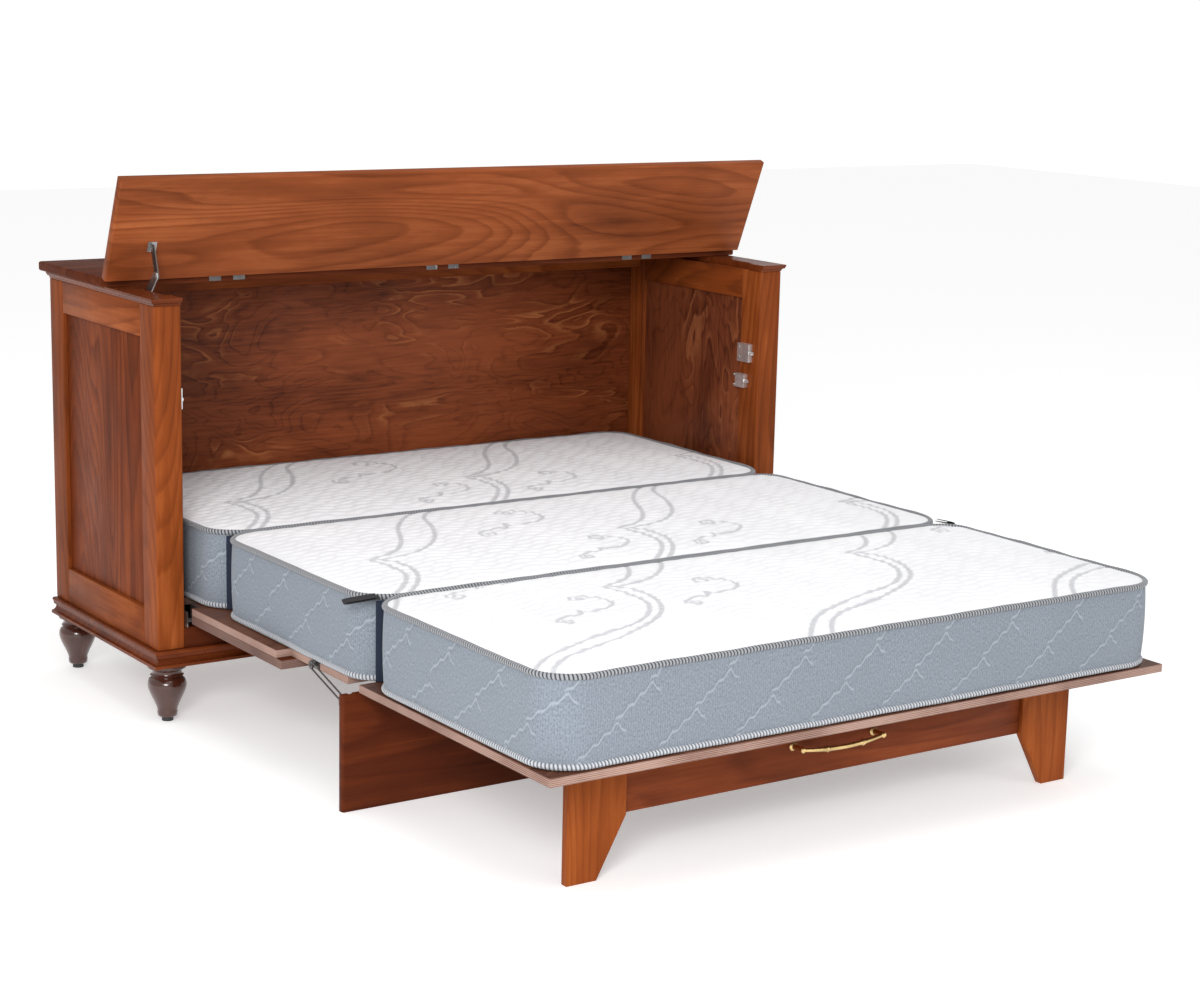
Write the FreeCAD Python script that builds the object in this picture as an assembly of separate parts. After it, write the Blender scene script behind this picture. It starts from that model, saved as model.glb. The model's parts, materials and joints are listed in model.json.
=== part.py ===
"""Cabinet bed: a chest whose front folds down into a queen-size bed, drawn opened out.

Millimetres.  X runs along the cabinet, -Y is the foot of the bed, +Z is up.  The shapes are drawn
with Y = 0 on the front faces of the cabinet posts and moved to the frame's origin, the middle of
the whole object's footprint, as they are written.
"""
import FreeCAD, Part
import math
import os

from FreeCAD import Vector

# ---- cabinet carcass ----
CABINET_WIDTH = 1716.0        # over the posts
CABINET_DEPTH = 585.0         # front of the posts to the back of the back panel
POST_WIDTH = 64.0
POST_DEPTH = 76.0
CARCASS_BOTTOM = 171.0        # top of the base moulding
CARCASS_TOP = 939.0           # top of the posts
TOP_RAIL_HEIGHT = 74.0
BOTTOM_RAIL_HEIGHT = 84.0
SIDE_PANEL = 10.0
SIDE_PANEL_RECESS = 9.0
BACK_PANEL = 12.0
BOTTOM_BOARD = 18.0
FRONT_RAIL = 19.0
FRONT_RAIL_TOP = 218.0
INNER_DECK_FRONT = 64.0       # the fixed deck starts this far behind the post fronts
CLEAT = 30.0

# ---- mouldings and top ----
TOP_MOULDING_HEIGHT = 17.0
TOP_MOULDING_REACH = 9.0
BASE_HEIGHT = 38.0
BASE_LIP = 7.0
BASE_REACH = 14.0
BASE_FRAME = 60.0             # width of the base frame's members
TOP_THICKNESS = 22.0
TOP_OVERHANG = 22.0
TOP_BACK_OVERHANG = 10.0
LID_DEPTH = 252.0
LID_OPEN_ANGLE = 67.0
LID_GAP = 2.0

# ---- feet ----
FOOT_RADIUS = 43.5
FOOT_NECK_RADIUS = 33.0
FOOT_TOE_RADIUS = 22.0
GLIDE_RADIUS = 13.0
GLIDE_HEIGHT = 10.0
FOOT_INSET = 36.0

# ---- folding deck ----
DECK_TOP = 269.0
PLYWOOD = 17.0
FRONT_BOARD = 19.0
SIDE_CLEARANCE = 3.0          # between the folding boards and the posts
DECK_BACK = 8.0               # behind the post fronts
FRONT_BOARD_LENGTH = 473.0
DECK_STEP = 448.0             # the deck is full width up to here, measured from its back edge
DECK_LENGTH = 694.0
DECK_FRONT_SETBACK = 35.0     # the narrow front of the deck stands in this far each side
PIVOT_RISE = 1.4              # of the deck's pivot above the underside of the front board
PIVOT_PROUD = 1.6             # of the pivot in front of the posts
PIVOT_PIN_RADIUS = 5.0
RUNNING_CLEARANCE = 0.05

# ---- kick panel under the middle of the bed ----
KICK_HEIGHT = 244.0
KICK_THICKNESS = 19.0
KICK_BACK = -711.0
KICK_NOSE_RADIUS = 6.0
CLOSED_GAP = 0.5              # kick panel to deck when the bed is folded
BOARD_GAP = 3.0               # kick panel to front board when the bed is folded

# ---- foot panel and its legs ----
FOOT_PANEL_SETBACK = 25.0
FOOT_PANEL_LENGTH = 695.0
FOLD_GAP = 65.0               # deck to foot panel, spanned by the hinges
FOLD_AXIS_RISE = 1.0          # of the fold's axis above the deck
LEG_SETBACK = 136.0           # leg fronts behind the foot panel's front edge
LEG_INSET = 130.0
LEG_THICKNESS = 18.0
LEG_TOP_WIDTH = 132.0
LEG_FOOT_WIDTH = 67.0
LEG_BEND_HEIGHT = 119.0
APRON_RECESS = 9.0
APRON_THICKNESS = 18.0
LEG_AXIS_DROP = 4.0
HANDLE_SPACING = 205.0
HANDLE_HEIGHT = 188.0
HANDLE_REACH = 38.0
HANDLE_BAR_RADIUS = 5.0
HANDLE_BOW = 9.0
HANDLE_DIP = 6.0
HANDLE_BEAD_SHARE = 0.4

# ---- mattress ----
MATTRESS_SETBACK = 29.0        # from the deck's side edge; gives a width of 1524
MATTRESS_SECTION = 666.0
MATTRESS_GAP = 4.0
MATTRESS_TOP = 451.0
MATTRESS_BACK_GAP = 7.0       # between the head section and the back panel
MATTRESS_FRONT_EDGE = 6.0     # bare foot panel in front of the foot section
MATTRESS_CORNER = 85.0
HINGE_GROOVE = (36.0, 7.0)    # width and depth of the hollow over the fold hinges

# ---- hinges, catches and stays ----
HINGE_PLATE = 2.0
HINGE_LENGTH = 90.0
KNUCKLE_RADIUS = 3.5
HINGE_PIN_RADIUS = 1.6
KNUCKLE_GAP = 0.4
LID_KNUCKLE_RADIUS = 3.0
FOLD_HINGES = 4
KICK_HINGES = 3
LID_HINGES = 3
CATCH_HEIGHTS = (729.0, 656.0)
CATCH_SIZE = 46.0
CATCH_THICKNESS = 13.0
CATCH_TRAVEL = 6.0
PLUNGER_RADIUS = 5.0
PLUNGER_REACH = CATCH_TRAVEL + 3.0
STAY_PLATE = 2.0
STAY_WIDTH = 12.0
STAY_PIN_RADIUS = 2.5
KICK_STAY_WIRE = 1.9
KICK_STAY_HALF_WIDTH = 7.0
KICK_STUD_RADIUS = 2.0
KICK_GROOVE_WIDTH = 12.0      # routed in the back of the kick panel, where the wire loop swings
KICK_GROOVE_DEPTH = 13.0

# ---- worked out from the sizes above ----
SIDE = CABINET_WIDTH / 2
INNER = SIDE - POST_WIDTH
BASE_BOTTOM = CARCASS_BOTTOM - BASE_HEIGHT
TOP_UNDER = CARCASS_TOP + TOP_MOULDING_HEIGHT
TOP = TOP_UNDER + TOP_THICKNESS
BACK_INNER = CABINET_DEPTH - BACK_PANEL
DECK_UNDER = DECK_TOP - PLYWOOD
BOARD_UNDER = DECK_UNDER - FRONT_BOARD
DECK_HALF = INNER - SIDE_CLEARANCE
DECK_FRONT_WIDTH = 2 * (DECK_HALF - DECK_FRONT_SETBACK)
FOOT_PANEL_WIDTH = 2 * (DECK_HALF - FOOT_PANEL_SETBACK)
DECK_FRONT = DECK_BACK - DECK_LENGTH
BOARD_FRONT = DECK_BACK - FRONT_BOARD_LENGTH
PIVOT = (-PIVOT_PROUD, BOARD_UNDER + PIVOT_RISE)
FOLD_AXIS = (DECK_FRONT - FOLD_GAP / 2, DECK_TOP + FOLD_AXIS_RISE)
FOOT_PANEL_BACK = DECK_FRONT - FOLD_GAP
FOOT_PANEL_FRONT = FOOT_PANEL_BACK - FOOT_PANEL_LENGTH
LEG_FRONT = FOOT_PANEL_FRONT + LEG_SETBACK
APRON_FRONT = LEG_FRONT + APRON_RECESS
APRON_BACK = APRON_FRONT + APRON_THICKNESS
LEG_AXIS = (APRON_BACK + LEG_AXIS_DROP, DECK_UNDER - LEG_AXIS_DROP)
LEG_OUTER = FOOT_PANEL_WIDTH / 2 - LEG_INSET
LEG_INNER = LEG_OUTER - LEG_TOP_WIDTH
LID_AXIS = (LID_DEPTH - TOP_OVERHANG + LID_GAP / 2, TOP + 1)
ORIGIN_Y = (CABINET_DEPTH + TOP_BACK_OVERHANG + FOOT_PANEL_FRONT) / 2

# The kick panel stays upright while the deck swings up through a right angle, so its axis is
# where both turn alike: it ends flat under the deck, next to the front board.
KICK_SHIFT_Y = PIVOT[0] + DECK_UNDER - PIVOT[1] - CLOSED_GAP - KICK_BACK
KICK_SHIFT_Z = PIVOT[1] + PIVOT[0] - BOARD_FRONT + BOARD_GAP
KICK_AXIS = (PIVOT[0] - (KICK_SHIFT_Y + KICK_SHIFT_Z) / 2, PIVOT[1] + (KICK_SHIFT_Y - KICK_SHIFT_Z) / 2)

# Lid stays: a lower arm on the cabinet's side, an upper slotted arm under the lid.
STAY_X = INNER - 9.0
STAY_BASE = (214.0, 920.0)
STAY_KNEE = (150.0, 985.0)
STAY_LID_BACK = 84.0          # from the lid's back edge to the upper pivot
STAY_LID_DROP = 9.5           # from the lid's underside to the upper pivot
STAY_SLOT = 3.0               # the knee pin's slot runs this far each way

# Kick panel stays: a wire loop on the deck, a stud on the panel that slides along it.
KICK_STAY_X = DECK_FRONT_WIDTH / 2 + 12.0
KICK_STAY_PIVOT = (DECK_FRONT + 134.0, DECK_UNDER + 10.5)
KICK_STUD = (KICK_BACK + 16.0, KICK_HEIGHT - 22.0)

PARTS = {}


def keep(name, *shapes):
    """Store a sub-part made of one solid, or of several separate ones."""
    PARTS[name] = shapes[0] if len(shapes) == 1 else Part.Compound(list(shapes))


def box(x0, x1, y0, y1, z0, z1):
    low = Vector(min(x0, x1), min(y0, y1), min(z0, z1))
    return Part.makeBox(abs(x1 - x0), abs(y1 - y0), abs(z1 - z0), low)


def rod(x0, x1, at, radius):
    """A round bar along X; at is its (y, z)."""
    return Part.makeCylinder(radius, abs(x1 - x0), Vector(min(x0, x1), at[0], at[1]), Vector(1, 0, 0))


def rod_y(x, y0, y1, z, radius):
    """A round bar along Y."""
    return Part.makeCylinder(radius, abs(y1 - y0), Vector(x, min(y0, y1), z), Vector(0, 1, 0))


def turned(shape, at, degrees):
    """The shape turned about an axis along X through at = (y, z)."""
    copy = shape.copy()
    copy.rotate(Vector(0, at[0], at[1]), Vector(1, 0, 0), degrees)
    return copy


def mirrored(shape):
    return shape.mirror(Vector(0, 0, 0), Vector(1, 0, 0))


def bore(shape, x0, x1, at, radius):
    return shape.cut(rod(x0, x1, at, radius))


def eased(shape, radius, wanted):
    """Round over the edges that wanted(edge) picks."""
    return shape.makeFillet(radius, [e for e in shape.Edges if wanted(e)])


def runs_along(edge, axis):
    a, b = edge.Vertexes[0].Point, edge.Vertexes[-1].Point
    d = b - a
    return d.Length > 1 and abs(getattr(d, axis)) > 0.999 * d.Length


# ---------------------------------------------------------------- cabinet

def side_frames():
    """Posts, rails and the panels let in between them, on both sides."""
    for name, sign in (("left", -1), ("right", 1)):
        inner, outer = sign * INNER, sign * SIDE
        keep(f"{name}_front_post", box(inner, outer, 0, POST_DEPTH, CARCASS_BOTTOM, CARCASS_TOP))
        keep(f"{name}_back_post",
             box(inner, outer, CABINET_DEPTH - POST_DEPTH, CABINET_DEPTH, CARCASS_BOTTOM, CARCASS_TOP)
             .cut(box(inner - sign, inner + sign * 12, BACK_INNER, CABINET_DEPTH + 1,
                      CARCASS_BOTTOM - 1, CARCASS_TOP + 1)))
        y0, y1 = POST_DEPTH, CABINET_DEPTH - POST_DEPTH
        low, high = CARCASS_BOTTOM + BOTTOM_RAIL_HEIGHT, CARCASS_TOP - TOP_RAIL_HEIGHT
        keep(f"{name}_side_rails",
             box(inner, outer, y0, y1, high, CARCASS_TOP),
             box(inner, outer, y0, y1, CARCASS_BOTTOM, low))
        face = outer - sign * SIDE_PANEL_RECESS
        keep(f"{name}_outer_panel", box(face, face - sign * SIDE_PANEL, y0, y1, low, high))
    inner_face = INNER + SIDE_PANEL_RECESS
    panel = box(inner_face, inner_face + SIDE_PANEL, y0, y1, low, high)
    keep("inner_side_panels", panel, mirrored(panel))


def carcass_boards():
    """Back, bottom, front rail and the fixed deck on its cleats."""
    keep("back_panel", box(-INNER - 12, INNER + 12, BACK_INNER, CABINET_DEPTH, CARCASS_BOTTOM, CARCASS_TOP))
    keep("bottom_board", box(-INNER, INNER, FRONT_RAIL, BACK_INNER,
                             CARCASS_BOTTOM, CARCASS_BOTTOM + BOTTOM_BOARD))
    keep("front_rail", box(-INNER, INNER, 0, FRONT_RAIL, CARCASS_BOTTOM, FRONT_RAIL_TOP))
    keep("inner_deck", box(-INNER, INNER, INNER_DECK_FRONT, BACK_INNER, DECK_UNDER, DECK_TOP))
    side_cleat = box(INNER - CLEAT, INNER, INNER_DECK_FRONT, BACK_INNER - CLEAT,
                     DECK_UNDER - CLEAT, DECK_UNDER)
    bearers = [box(x - CLEAT / 2, x + CLEAT / 2, INNER_DECK_FRONT, BACK_INNER - CLEAT,
                   CARCASS_BOTTOM + BOTTOM_BOARD, DECK_UNDER) for x in (-INNER / 3, INNER / 3)]
    back_cleat = box(-INNER, INNER, BACK_INNER - CLEAT, BACK_INNER, DECK_UNDER - CLEAT, DECK_UNDER)
    keep("deck_cleats", side_cleat, mirrored(side_cleat), back_cleat, *bearers)


def top_moulding():
    """A cove strip round the front and sides, under the top."""
    reach, lip_height = TOP_MOULDING_REACH, 6
    z0, z1 = CARCASS_TOP, TOP_UNDER
    z = z1 - lip_height
    radius = reach - 3
    solids = []
    for sign in (-1, 1):
        face, edge = sign * SIDE, sign * (SIDE + reach)
        strip = box(sign * INNER, edge, -reach, CABINET_DEPTH, z0, z1)
        side_cut = box(face, edge + sign * reach, -2 * reach, CABINET_DEPTH + 1, z0 - 1, z)
        front_cut = box(sign * (INNER - 1), edge + sign, -2 * reach, 0, z0 - 1, z)
        side = Part.makeCylinder(radius, CABINET_DEPTH, Vector(face, 0, z), Vector(0, 1, 0))
        side = side.common(box(face, edge, 0, CABINET_DEPTH, z0, z))
        front = Part.makeCylinder(radius, POST_WIDTH, Vector(min(sign * INNER, face), 0, z), Vector(1, 0, 0))
        front = front.common(box(sign * INNER, face, -reach, 0, z0, z))
        corner = Part.makeSphere(radius, Vector(face, 0, z))
        corner = corner.common(box(face, edge, -reach, 0, z0, z))
        solids.append(strip.cut(side_cut).cut(front_cut).fuse([side, front, corner]).removeSplitter())
    keep("top_moulding", *solids)
    keep("back_top_rail", box(-INNER, INNER, BACK_INNER - 45, BACK_INNER, CARCASS_TOP - 40, TOP_UNDER))


def base_moulding():
    """The stepped plinth frame: two lips with a hollow between them, on a frame that takes the feet."""
    reach, lip = BASE_REACH, BASE_LIP
    z0, z1 = BASE_BOTTOM, CARCASS_BOTTOM
    half = reach / 2

    def ring(out, low, high):
        outer = box(-SIDE - out, SIDE + out, -out, CABINET_DEPTH, low, high)
        inner = box(-SIDE + BASE_FRAME, SIDE - BASE_FRAME, BASE_FRAME, CABINET_DEPTH - BASE_FRAME,
                    low - 1, high + 1)
        return outer.cut(inner)

    rungs = 6
    step = (z1 - z0 - 2 * lip) / rungs
    layers = [ring(reach, z0, z0 + lip), ring(half, z1 - lip, z1)]
    for n in range(rungs):
        turn = math.pi / 2 * (n + 0.5) / rungs
        z = z0 + lip + n * step
        layers.append(ring(half - 2 + (half + 1) * (1 - math.sin(turn)), z, z + step))
    keep("base_moulding", layers[0].fuse(layers[1:]).removeSplitter())


def top_boards():
    """The fixed rear top and the hinged lid, the lid drawn shut and then opened."""
    half = SIDE + TOP_OVERHANG
    back = CABINET_DEPTH + TOP_BACK_OVERHANG
    slab = box(-half, half, LID_AXIS[0] + LID_GAP / 2, back, TOP_UNDER, TOP)
    lid = box(-half, half, -TOP_OVERHANG, LID_AXIS[0] - LID_GAP / 2, TOP_UNDER, TOP)
    slab = eased(slab, 5, lambda e: on_outline(e, half, back))
    lid = eased(lid, 5, lambda e: on_outline(e, half, -TOP_OVERHANG))
    for x in spread(LID_HINGES, SIDE):
        reach = HINGE_LENGTH / 2 + 1
        slab = bore(slab, x - reach, x + reach, LID_AXIS, LID_KNUCKLE_RADIUS + 0.5)
        lid = bore(lid, x - reach, x + reach, LID_AXIS, LID_KNUCKLE_RADIUS + 0.5)
    keep("rear_top", slab)
    keep("lid", turned(lid, LID_AXIS, -LID_OPEN_ANGLE))


def on_outline(edge, half, y):
    """True for the top and bottom edges of a board's moulded sides."""
    mid = edge.CenterOfMass
    at_side = runs_along(edge, "y") and abs(abs(mid.x) - half) < 0.1
    return at_side or (runs_along(edge, "x") and abs(mid.y - y) < 0.1)


def feet():
    """Turned feet with a collar, a neck ring and a vase, and a glide under each."""
    top = BASE_BOTTOM
    outline = [(0, GLIDE_HEIGHT), (FOOT_TOE_RADIUS, GLIDE_HEIGHT), (FOOT_TOE_RADIUS + 1, GLIDE_HEIGHT + 12)]
    vase_low, vase_high = (FOOT_TOE_RADIUS + 2, GLIDE_HEIGHT + 18), (FOOT_NECK_RADIUS + 1, top - 24)
    ring_high = (FOOT_NECK_RADIUS, top - 16)
    collar = (FOOT_RADIUS, top - 9)

    def point(p):
        return Vector(p[0], 0, p[1])

    edges = [Part.makePolygon([point(p) for p in outline + [vase_low]])]
    belly = (FOOT_RADIUS, top - 44)
    curves = [
        (vase_low, (FOOT_RADIUS - 4, top - 62), belly),
        (belly, (FOOT_RADIUS - 2, top - 30), vase_high),
        (vase_high, (FOOT_NECK_RADIUS + 5, top - 20), ring_high),
        (ring_high, (FOOT_RADIUS - 2, top - 14), collar),
    ]
    for start, middle, end in curves:
        edges.append(Part.Arc(point(start), point(middle), point(end)).toShape())
    closing = [collar, (FOOT_RADIUS, top), (0, top), (0, GLIDE_HEIGHT)]
    edges.append(Part.makePolygon([point(p) for p in closing]))
    wire = Part.Wire([e for group in edges for e in group.Edges])
    foot = Part.Face(wire).revolve(Vector(0, 0, 0), Vector(0, 0, 1), 360)
    glide = Part.makeCylinder(GLIDE_RADIUS, GLIDE_HEIGHT)
    glides = []
    for end, y in (("front", FOOT_INSET), ("back", CABINET_DEPTH - FOOT_INSET)):
        for side, sign in (("left", -1), ("right", 1)):
            place = Vector(sign * (SIDE - FOOT_INSET), y, 0)
            keep(f"{end}_{side}_foot", foot.translated(place))
            glides.append(glide.translated(place))
    keep("foot_glides", *glides)


# ---------------------------------------------------------------- hinges

def spread(count, half):
    """Middles of a row of hinges between -half and half."""
    return [half * (2 * n + 1 - count) / count for n in range(count)]


def knuckles(x, axis, radius, pin_radius):
    """Three knuckles in a row: the outer two of one leaf, the middle one of the other, and the pin."""
    third = HINGE_LENGTH / 3
    outer = []
    for low, high in ((-1.5 * third, -0.5 * third - KNUCKLE_GAP), (0.5 * third + KNUCKLE_GAP, 1.5 * third)):
        outer.append(rod(x + low, x + high, axis, radius))
    middle = rod(x - third / 2, x + third / 2, axis, radius)
    middle = bore(middle, x - third, x + third, axis, pin_radius + RUNNING_CLEARANCE)
    pin = rod(x - 1.5 * third, x + 1.5 * third, axis, pin_radius)
    return outer, middle, pin


def leaves(x, axis, radius, pin_radius, fixed_plate, moving_plate):
    """Both leaves of a hinge.  Each plate(x0, x1) draws the leaf between two places along it."""
    outer, middle, pin = knuckles(x, axis, radius, pin_radius)
    half, third = HINGE_LENGTH / 2, HINGE_LENGTH / 6
    fixed = [outer[0], outer[1], pin]
    fixed.append(fixed_plate(x - half, x - third - KNUCKLE_GAP))
    fixed.append(fixed_plate(x + third + KNUCKLE_GAP, x + half))
    moving = middle.fuse(moving_plate(x - third, x + third))
    moving = bore(moving, x - third - 1, x + third + 1, axis, pin_radius + RUNNING_CLEARANCE)
    return fixed[0].fuse(fixed[1:]).removeSplitter(), moving.removeSplitter()


def lid_hinges():
    """Butt hinges let in between the rear top and the lid."""
    y, z = LID_AXIS
    thick = LID_GAP / 2 - 0.1
    fixed, moving = [], []
    for x in spread(LID_HINGES, SIDE):
        a, b = leaves(
            x, LID_AXIS, LID_KNUCKLE_RADIUS, HINGE_PIN_RADIUS,
            lambda x0, x1: box(x0, x1, y + 0.1, y + 0.1 + thick - 0.05, TOP_UNDER + 2, z - 1),
            lambda x0, x1: box(x0, x1, y - 0.1, y - 0.1 - thick + 0.05, TOP_UNDER + 2, z - 1))
        fixed.append(a)
        moving.append(turned(b, LID_AXIS, -LID_OPEN_ANGLE))
    keep("lid_hinge_fixed_leaves", *fixed)
    keep("lid_hinge_lid_leaves", *moving)


def fold_hinge_plates():
    """The two plates of a fold hinge, flush with the tops of the deck and the foot panel."""
    reach = FOLD_GAP / 2 + 38
    y = FOLD_AXIS[0]

    def deck_plate(x0, x1):
        return box(x0, x1, y, y + reach, DECK_TOP - HINGE_PLATE, DECK_TOP)

    def foot_plate(x0, x1):
        return box(x0, x1, y - reach, y, DECK_TOP - HINGE_PLATE, DECK_TOP)

    return deck_plate, foot_plate


def kick_hinge_plates():
    """Flush under the deck on one side, let into the back of the kick panel on the other."""
    y, z = KICK_AXIS

    def deck_plate(x0, x1):
        flat = box(x0, x1, y - 2, DECK_FRONT + 40, DECK_UNDER, DECK_UNDER + HINGE_PLATE)
        riser = box(x0, x1, y - 2, y + 2.4, z, DECK_UNDER + HINGE_PLATE)
        return flat.fuse(riser)

    def panel_plate(x0, x1):
        flat = box(x0, x1, KICK_BACK - HINGE_PLATE, KICK_BACK, KICK_HEIGHT - 42, z)
        return flat.fuse(box(x0, x1, y - 2, KICK_BACK, KICK_HEIGHT - 8, z))

    return deck_plate, panel_plate


def leg_hinge_plates():
    """One plate under the foot panel, one on the back of the apron."""
    y, z = LEG_AXIS

    def panel_plate(x0, x1):
        return box(x0, x1, y, y + 34, DECK_UNDER - HINGE_PLATE, DECK_UNDER)

    def apron_plate(x0, x1):
        return box(x0, x1, APRON_BACK, APRON_BACK + HINGE_PLATE, z - 34, z)

    return panel_plate, apron_plate


# ---------------------------------------------------------------- folding deck

def deck():
    """The deck board with notched front corners, the finished board under it, and their pivots."""
    step_y = DECK_BACK - DECK_STEP
    board = box(-DECK_HALF, DECK_HALF, step_y, DECK_BACK, DECK_UNDER, DECK_TOP)
    narrow = DECK_FRONT_WIDTH / 2
    board = board.fuse(box(-narrow, narrow, DECK_FRONT, step_y, DECK_UNDER, DECK_TOP)).removeSplitter()
    front = box(-DECK_HALF, DECK_HALF, BOARD_FRONT, DECK_BACK, BOARD_UNDER, DECK_UNDER)
    notch_y = PIVOT[0] - 30
    brackets, plates = [], []
    for sign in (-1, 1):
        edge = sign * DECK_HALF
        notch = box(edge + sign, edge - sign * 20, notch_y, DECK_BACK + 1, BOARD_UNDER - 1, DECK_TOP + 1)
        board, front = board.cut(notch), front.cut(notch)
        inner = edge - sign * 20
        bracket = box(inner, inner + sign * 6, notch_y, DECK_BACK, PIVOT[1] - 10, DECK_TOP)
        brackets.append(bore(bracket, inner - 10, inner + 10, PIVOT, PIVOT_PIN_RADIUS + RUNNING_CLEARANCE))
        plate = box(sign * (INNER - SIDE_CLEARANCE + 0.5), sign * INNER, -13, 42,
                    PIVOT[1] - 13, PIVOT[1] + 22)
        plates.append(plate.fuse(rod(inner + sign * 0.5, sign * INNER, PIVOT, PIVOT_PIN_RADIUS)))
    deck_plate = fold_hinge_plates()[0]
    kick_deck_plate = kick_hinge_plates()[0]
    for x in spread(FOLD_HINGES, DECK_FRONT_WIDTH / 2):
        half, third = HINGE_LENGTH / 2, HINGE_LENGTH / 6
        board = board.cut(deck_plate(x - half, x - third)).cut(deck_plate(x + third, x + half))
    for x in spread(KICK_HINGES, DECK_FRONT_WIDTH / 2):
        half, third = HINGE_LENGTH / 2, HINGE_LENGTH / 6
        board = board.cut(kick_deck_plate(x - half, x - third)).cut(kick_deck_plate(x + third, x + half))
    keep("deck_board", board)
    front = eased(front, 3, lambda e: runs_along(e, "x") and e.CenterOfMass.z < BOARD_UNDER + 1)
    keep("deck_front_board", front)
    keep("deck_pivot_brackets", *brackets)
    keep("deck_pivot_plates", *plates)


def kick_panel():
    """The upright panel that carries the middle of the bed, with bullnosed edges."""
    y0, y1 = KICK_BACK - KICK_THICKNESS, KICK_BACK
    panel = box(-DECK_HALF, DECK_HALF, y0, y1, 0, KICK_HEIGHT)
    panel = eased(panel, KICK_NOSE_RADIUS, lambda e: round_edge(e, KICK_HEIGHT))
    deck_plate, panel_plate = kick_hinge_plates()
    third = HINGE_LENGTH / 6
    deck_side, panel_side = [], []
    for x in spread(KICK_HINGES, DECK_FRONT_WIDTH / 2):
        clear = box(x - HINGE_LENGTH / 2 - 1, x + HINGE_LENGTH / 2 + 1, KICK_AXIS[0] - 6, KICK_BACK + 1,
                    KICK_HEIGHT - 6, KICK_HEIGHT + 1)
        panel = panel.cut(clear).cut(panel_plate(x - third, x + third))
        a, b = leaves(x, KICK_AXIS, KNUCKLE_RADIUS, HINGE_PIN_RADIUS, deck_plate, panel_plate)
        deck_side.append(a)
        panel_side.append(b)
    for sign in (-1, 1):
        low, high = KICK_STAY_X - KICK_GROOVE_WIDTH / 2, KICK_STAY_X + KICK_GROOVE_WIDTH / 2
        panel = panel.cut(box(sign * low, sign * high, KICK_BACK - KICK_GROOVE_DEPTH, KICK_BACK + 1,
                              KICK_STUD[1] - 60, KICK_HEIGHT + 1))
    keep("kick_panel", panel)
    keep("kick_hinge_deck_leaves", *deck_side)
    keep("kick_hinge_panel_leaves", *panel_side)


def round_edge(edge, top):
    mid = edge.CenterOfMass
    at_top = runs_along(edge, "x") and mid.z > top - 1
    at_side = runs_along(edge, "z") and abs(mid.x) > DECK_HALF - 1
    return at_top or at_side


def foot_panel():
    """The plywood under the foot of the mattress, hinged to the deck."""
    half = FOOT_PANEL_WIDTH / 2
    panel = box(-half, half, FOOT_PANEL_FRONT, FOOT_PANEL_BACK, DECK_UNDER, DECK_TOP)
    deck_plate, foot_plate = fold_hinge_plates()
    third = HINGE_LENGTH / 6
    deck_side, foot_side = [], []
    for x in spread(FOLD_HINGES, DECK_FRONT_WIDTH / 2):
        panel = panel.cut(foot_plate(x - third, x + third))
        a, b = leaves(x, FOLD_AXIS, KNUCKLE_RADIUS, HINGE_PIN_RADIUS, deck_plate, foot_plate)
        deck_side.append(a)
        foot_side.append(b)
    keep("foot_panel", panel)
    keep("fold_hinge_deck_leaves", *deck_side)
    keep("fold_hinge_foot_leaves", *foot_side)


def leg_frame():
    """Two tapered legs with an apron between them, and the hinges that fold them under the panel."""
    top = DECK_UNDER - 1
    inner_foot = LEG_OUTER - LEG_FOOT_WIDTH
    points = [(LEG_OUTER, 0), (LEG_OUTER, top), (LEG_INNER, top), (LEG_INNER, LEG_BEND_HEIGHT),
              (inner_foot, 0)]
    wire = Part.makePolygon([Vector(x, LEG_FRONT, z) for x, z in points + points[:1]])
    leg = Part.Face(wire).extrude(Vector(0, LEG_THICKNESS, 0))
    leg = eased(leg, 1.5, lambda e: abs(e.CenterOfMass.y - LEG_FRONT) < 0.1 and e.CenterOfMass.z > 1)
    keep("left_leg", mirrored(leg))
    keep("right_leg", leg)
    keep("apron", box(-LEG_INNER, LEG_INNER, APRON_FRONT, APRON_BACK, LEG_BEND_HEIGHT, top))
    panel_plate, apron_plate = leg_hinge_plates()
    panel_side, leg_side = [], []
    for x in spread(3, LEG_INNER):
        a, b = leaves(x, LEG_AXIS, KNUCKLE_RADIUS - 0.5, HINGE_PIN_RADIUS, panel_plate, apron_plate)
        panel_side.append(a)
        leg_side.append(b)
    keep("leg_hinge_panel_leaves", *panel_side)
    keep("leg_hinge_apron_leaves", *leg_side)


def handle():
    """A bow handle: three straight spans of bar, a bead at each bend, two posts with round roses."""
    half, radius = HANDLE_SPACING / 2, HANDLE_BAR_RADIUS
    front = APRON_FRONT - HANDLE_REACH
    ends = [Vector(sign * half, front + HANDLE_BOW, HANDLE_HEIGHT) for sign in (-1, 1)]
    bends = [Vector(sign * half * HANDLE_BEAD_SHARE, front, HANDLE_HEIGHT - HANDLE_DIP) for sign in (-1, 1)]
    line = [ends[0], bends[0], bends[1], ends[1]]
    solids = [Part.makeCylinder(radius, (b - a).Length, a, b - a) for a, b in zip(line, line[1:])]
    tilt = Vector(0.3, 0.2, 1)    # keeps the beads' poles clear of the bar's seams
    solids += [Part.makeSphere(radius + 1.5, bend, tilt) for bend in bends]
    for end in ends:
        solids.append(rod_y(end.x, front + 4, APRON_FRONT, end.z, radius + 1))
        solids.append(rod_y(end.x, APRON_FRONT - 3, APRON_FRONT, end.z, radius + 4))
        solids.append(Part.makeSphere(radius + 2, end, tilt))
    keep("handle", solids[0].fuse(solids[1:]))


# ---------------------------------------------------------------- catches

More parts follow.
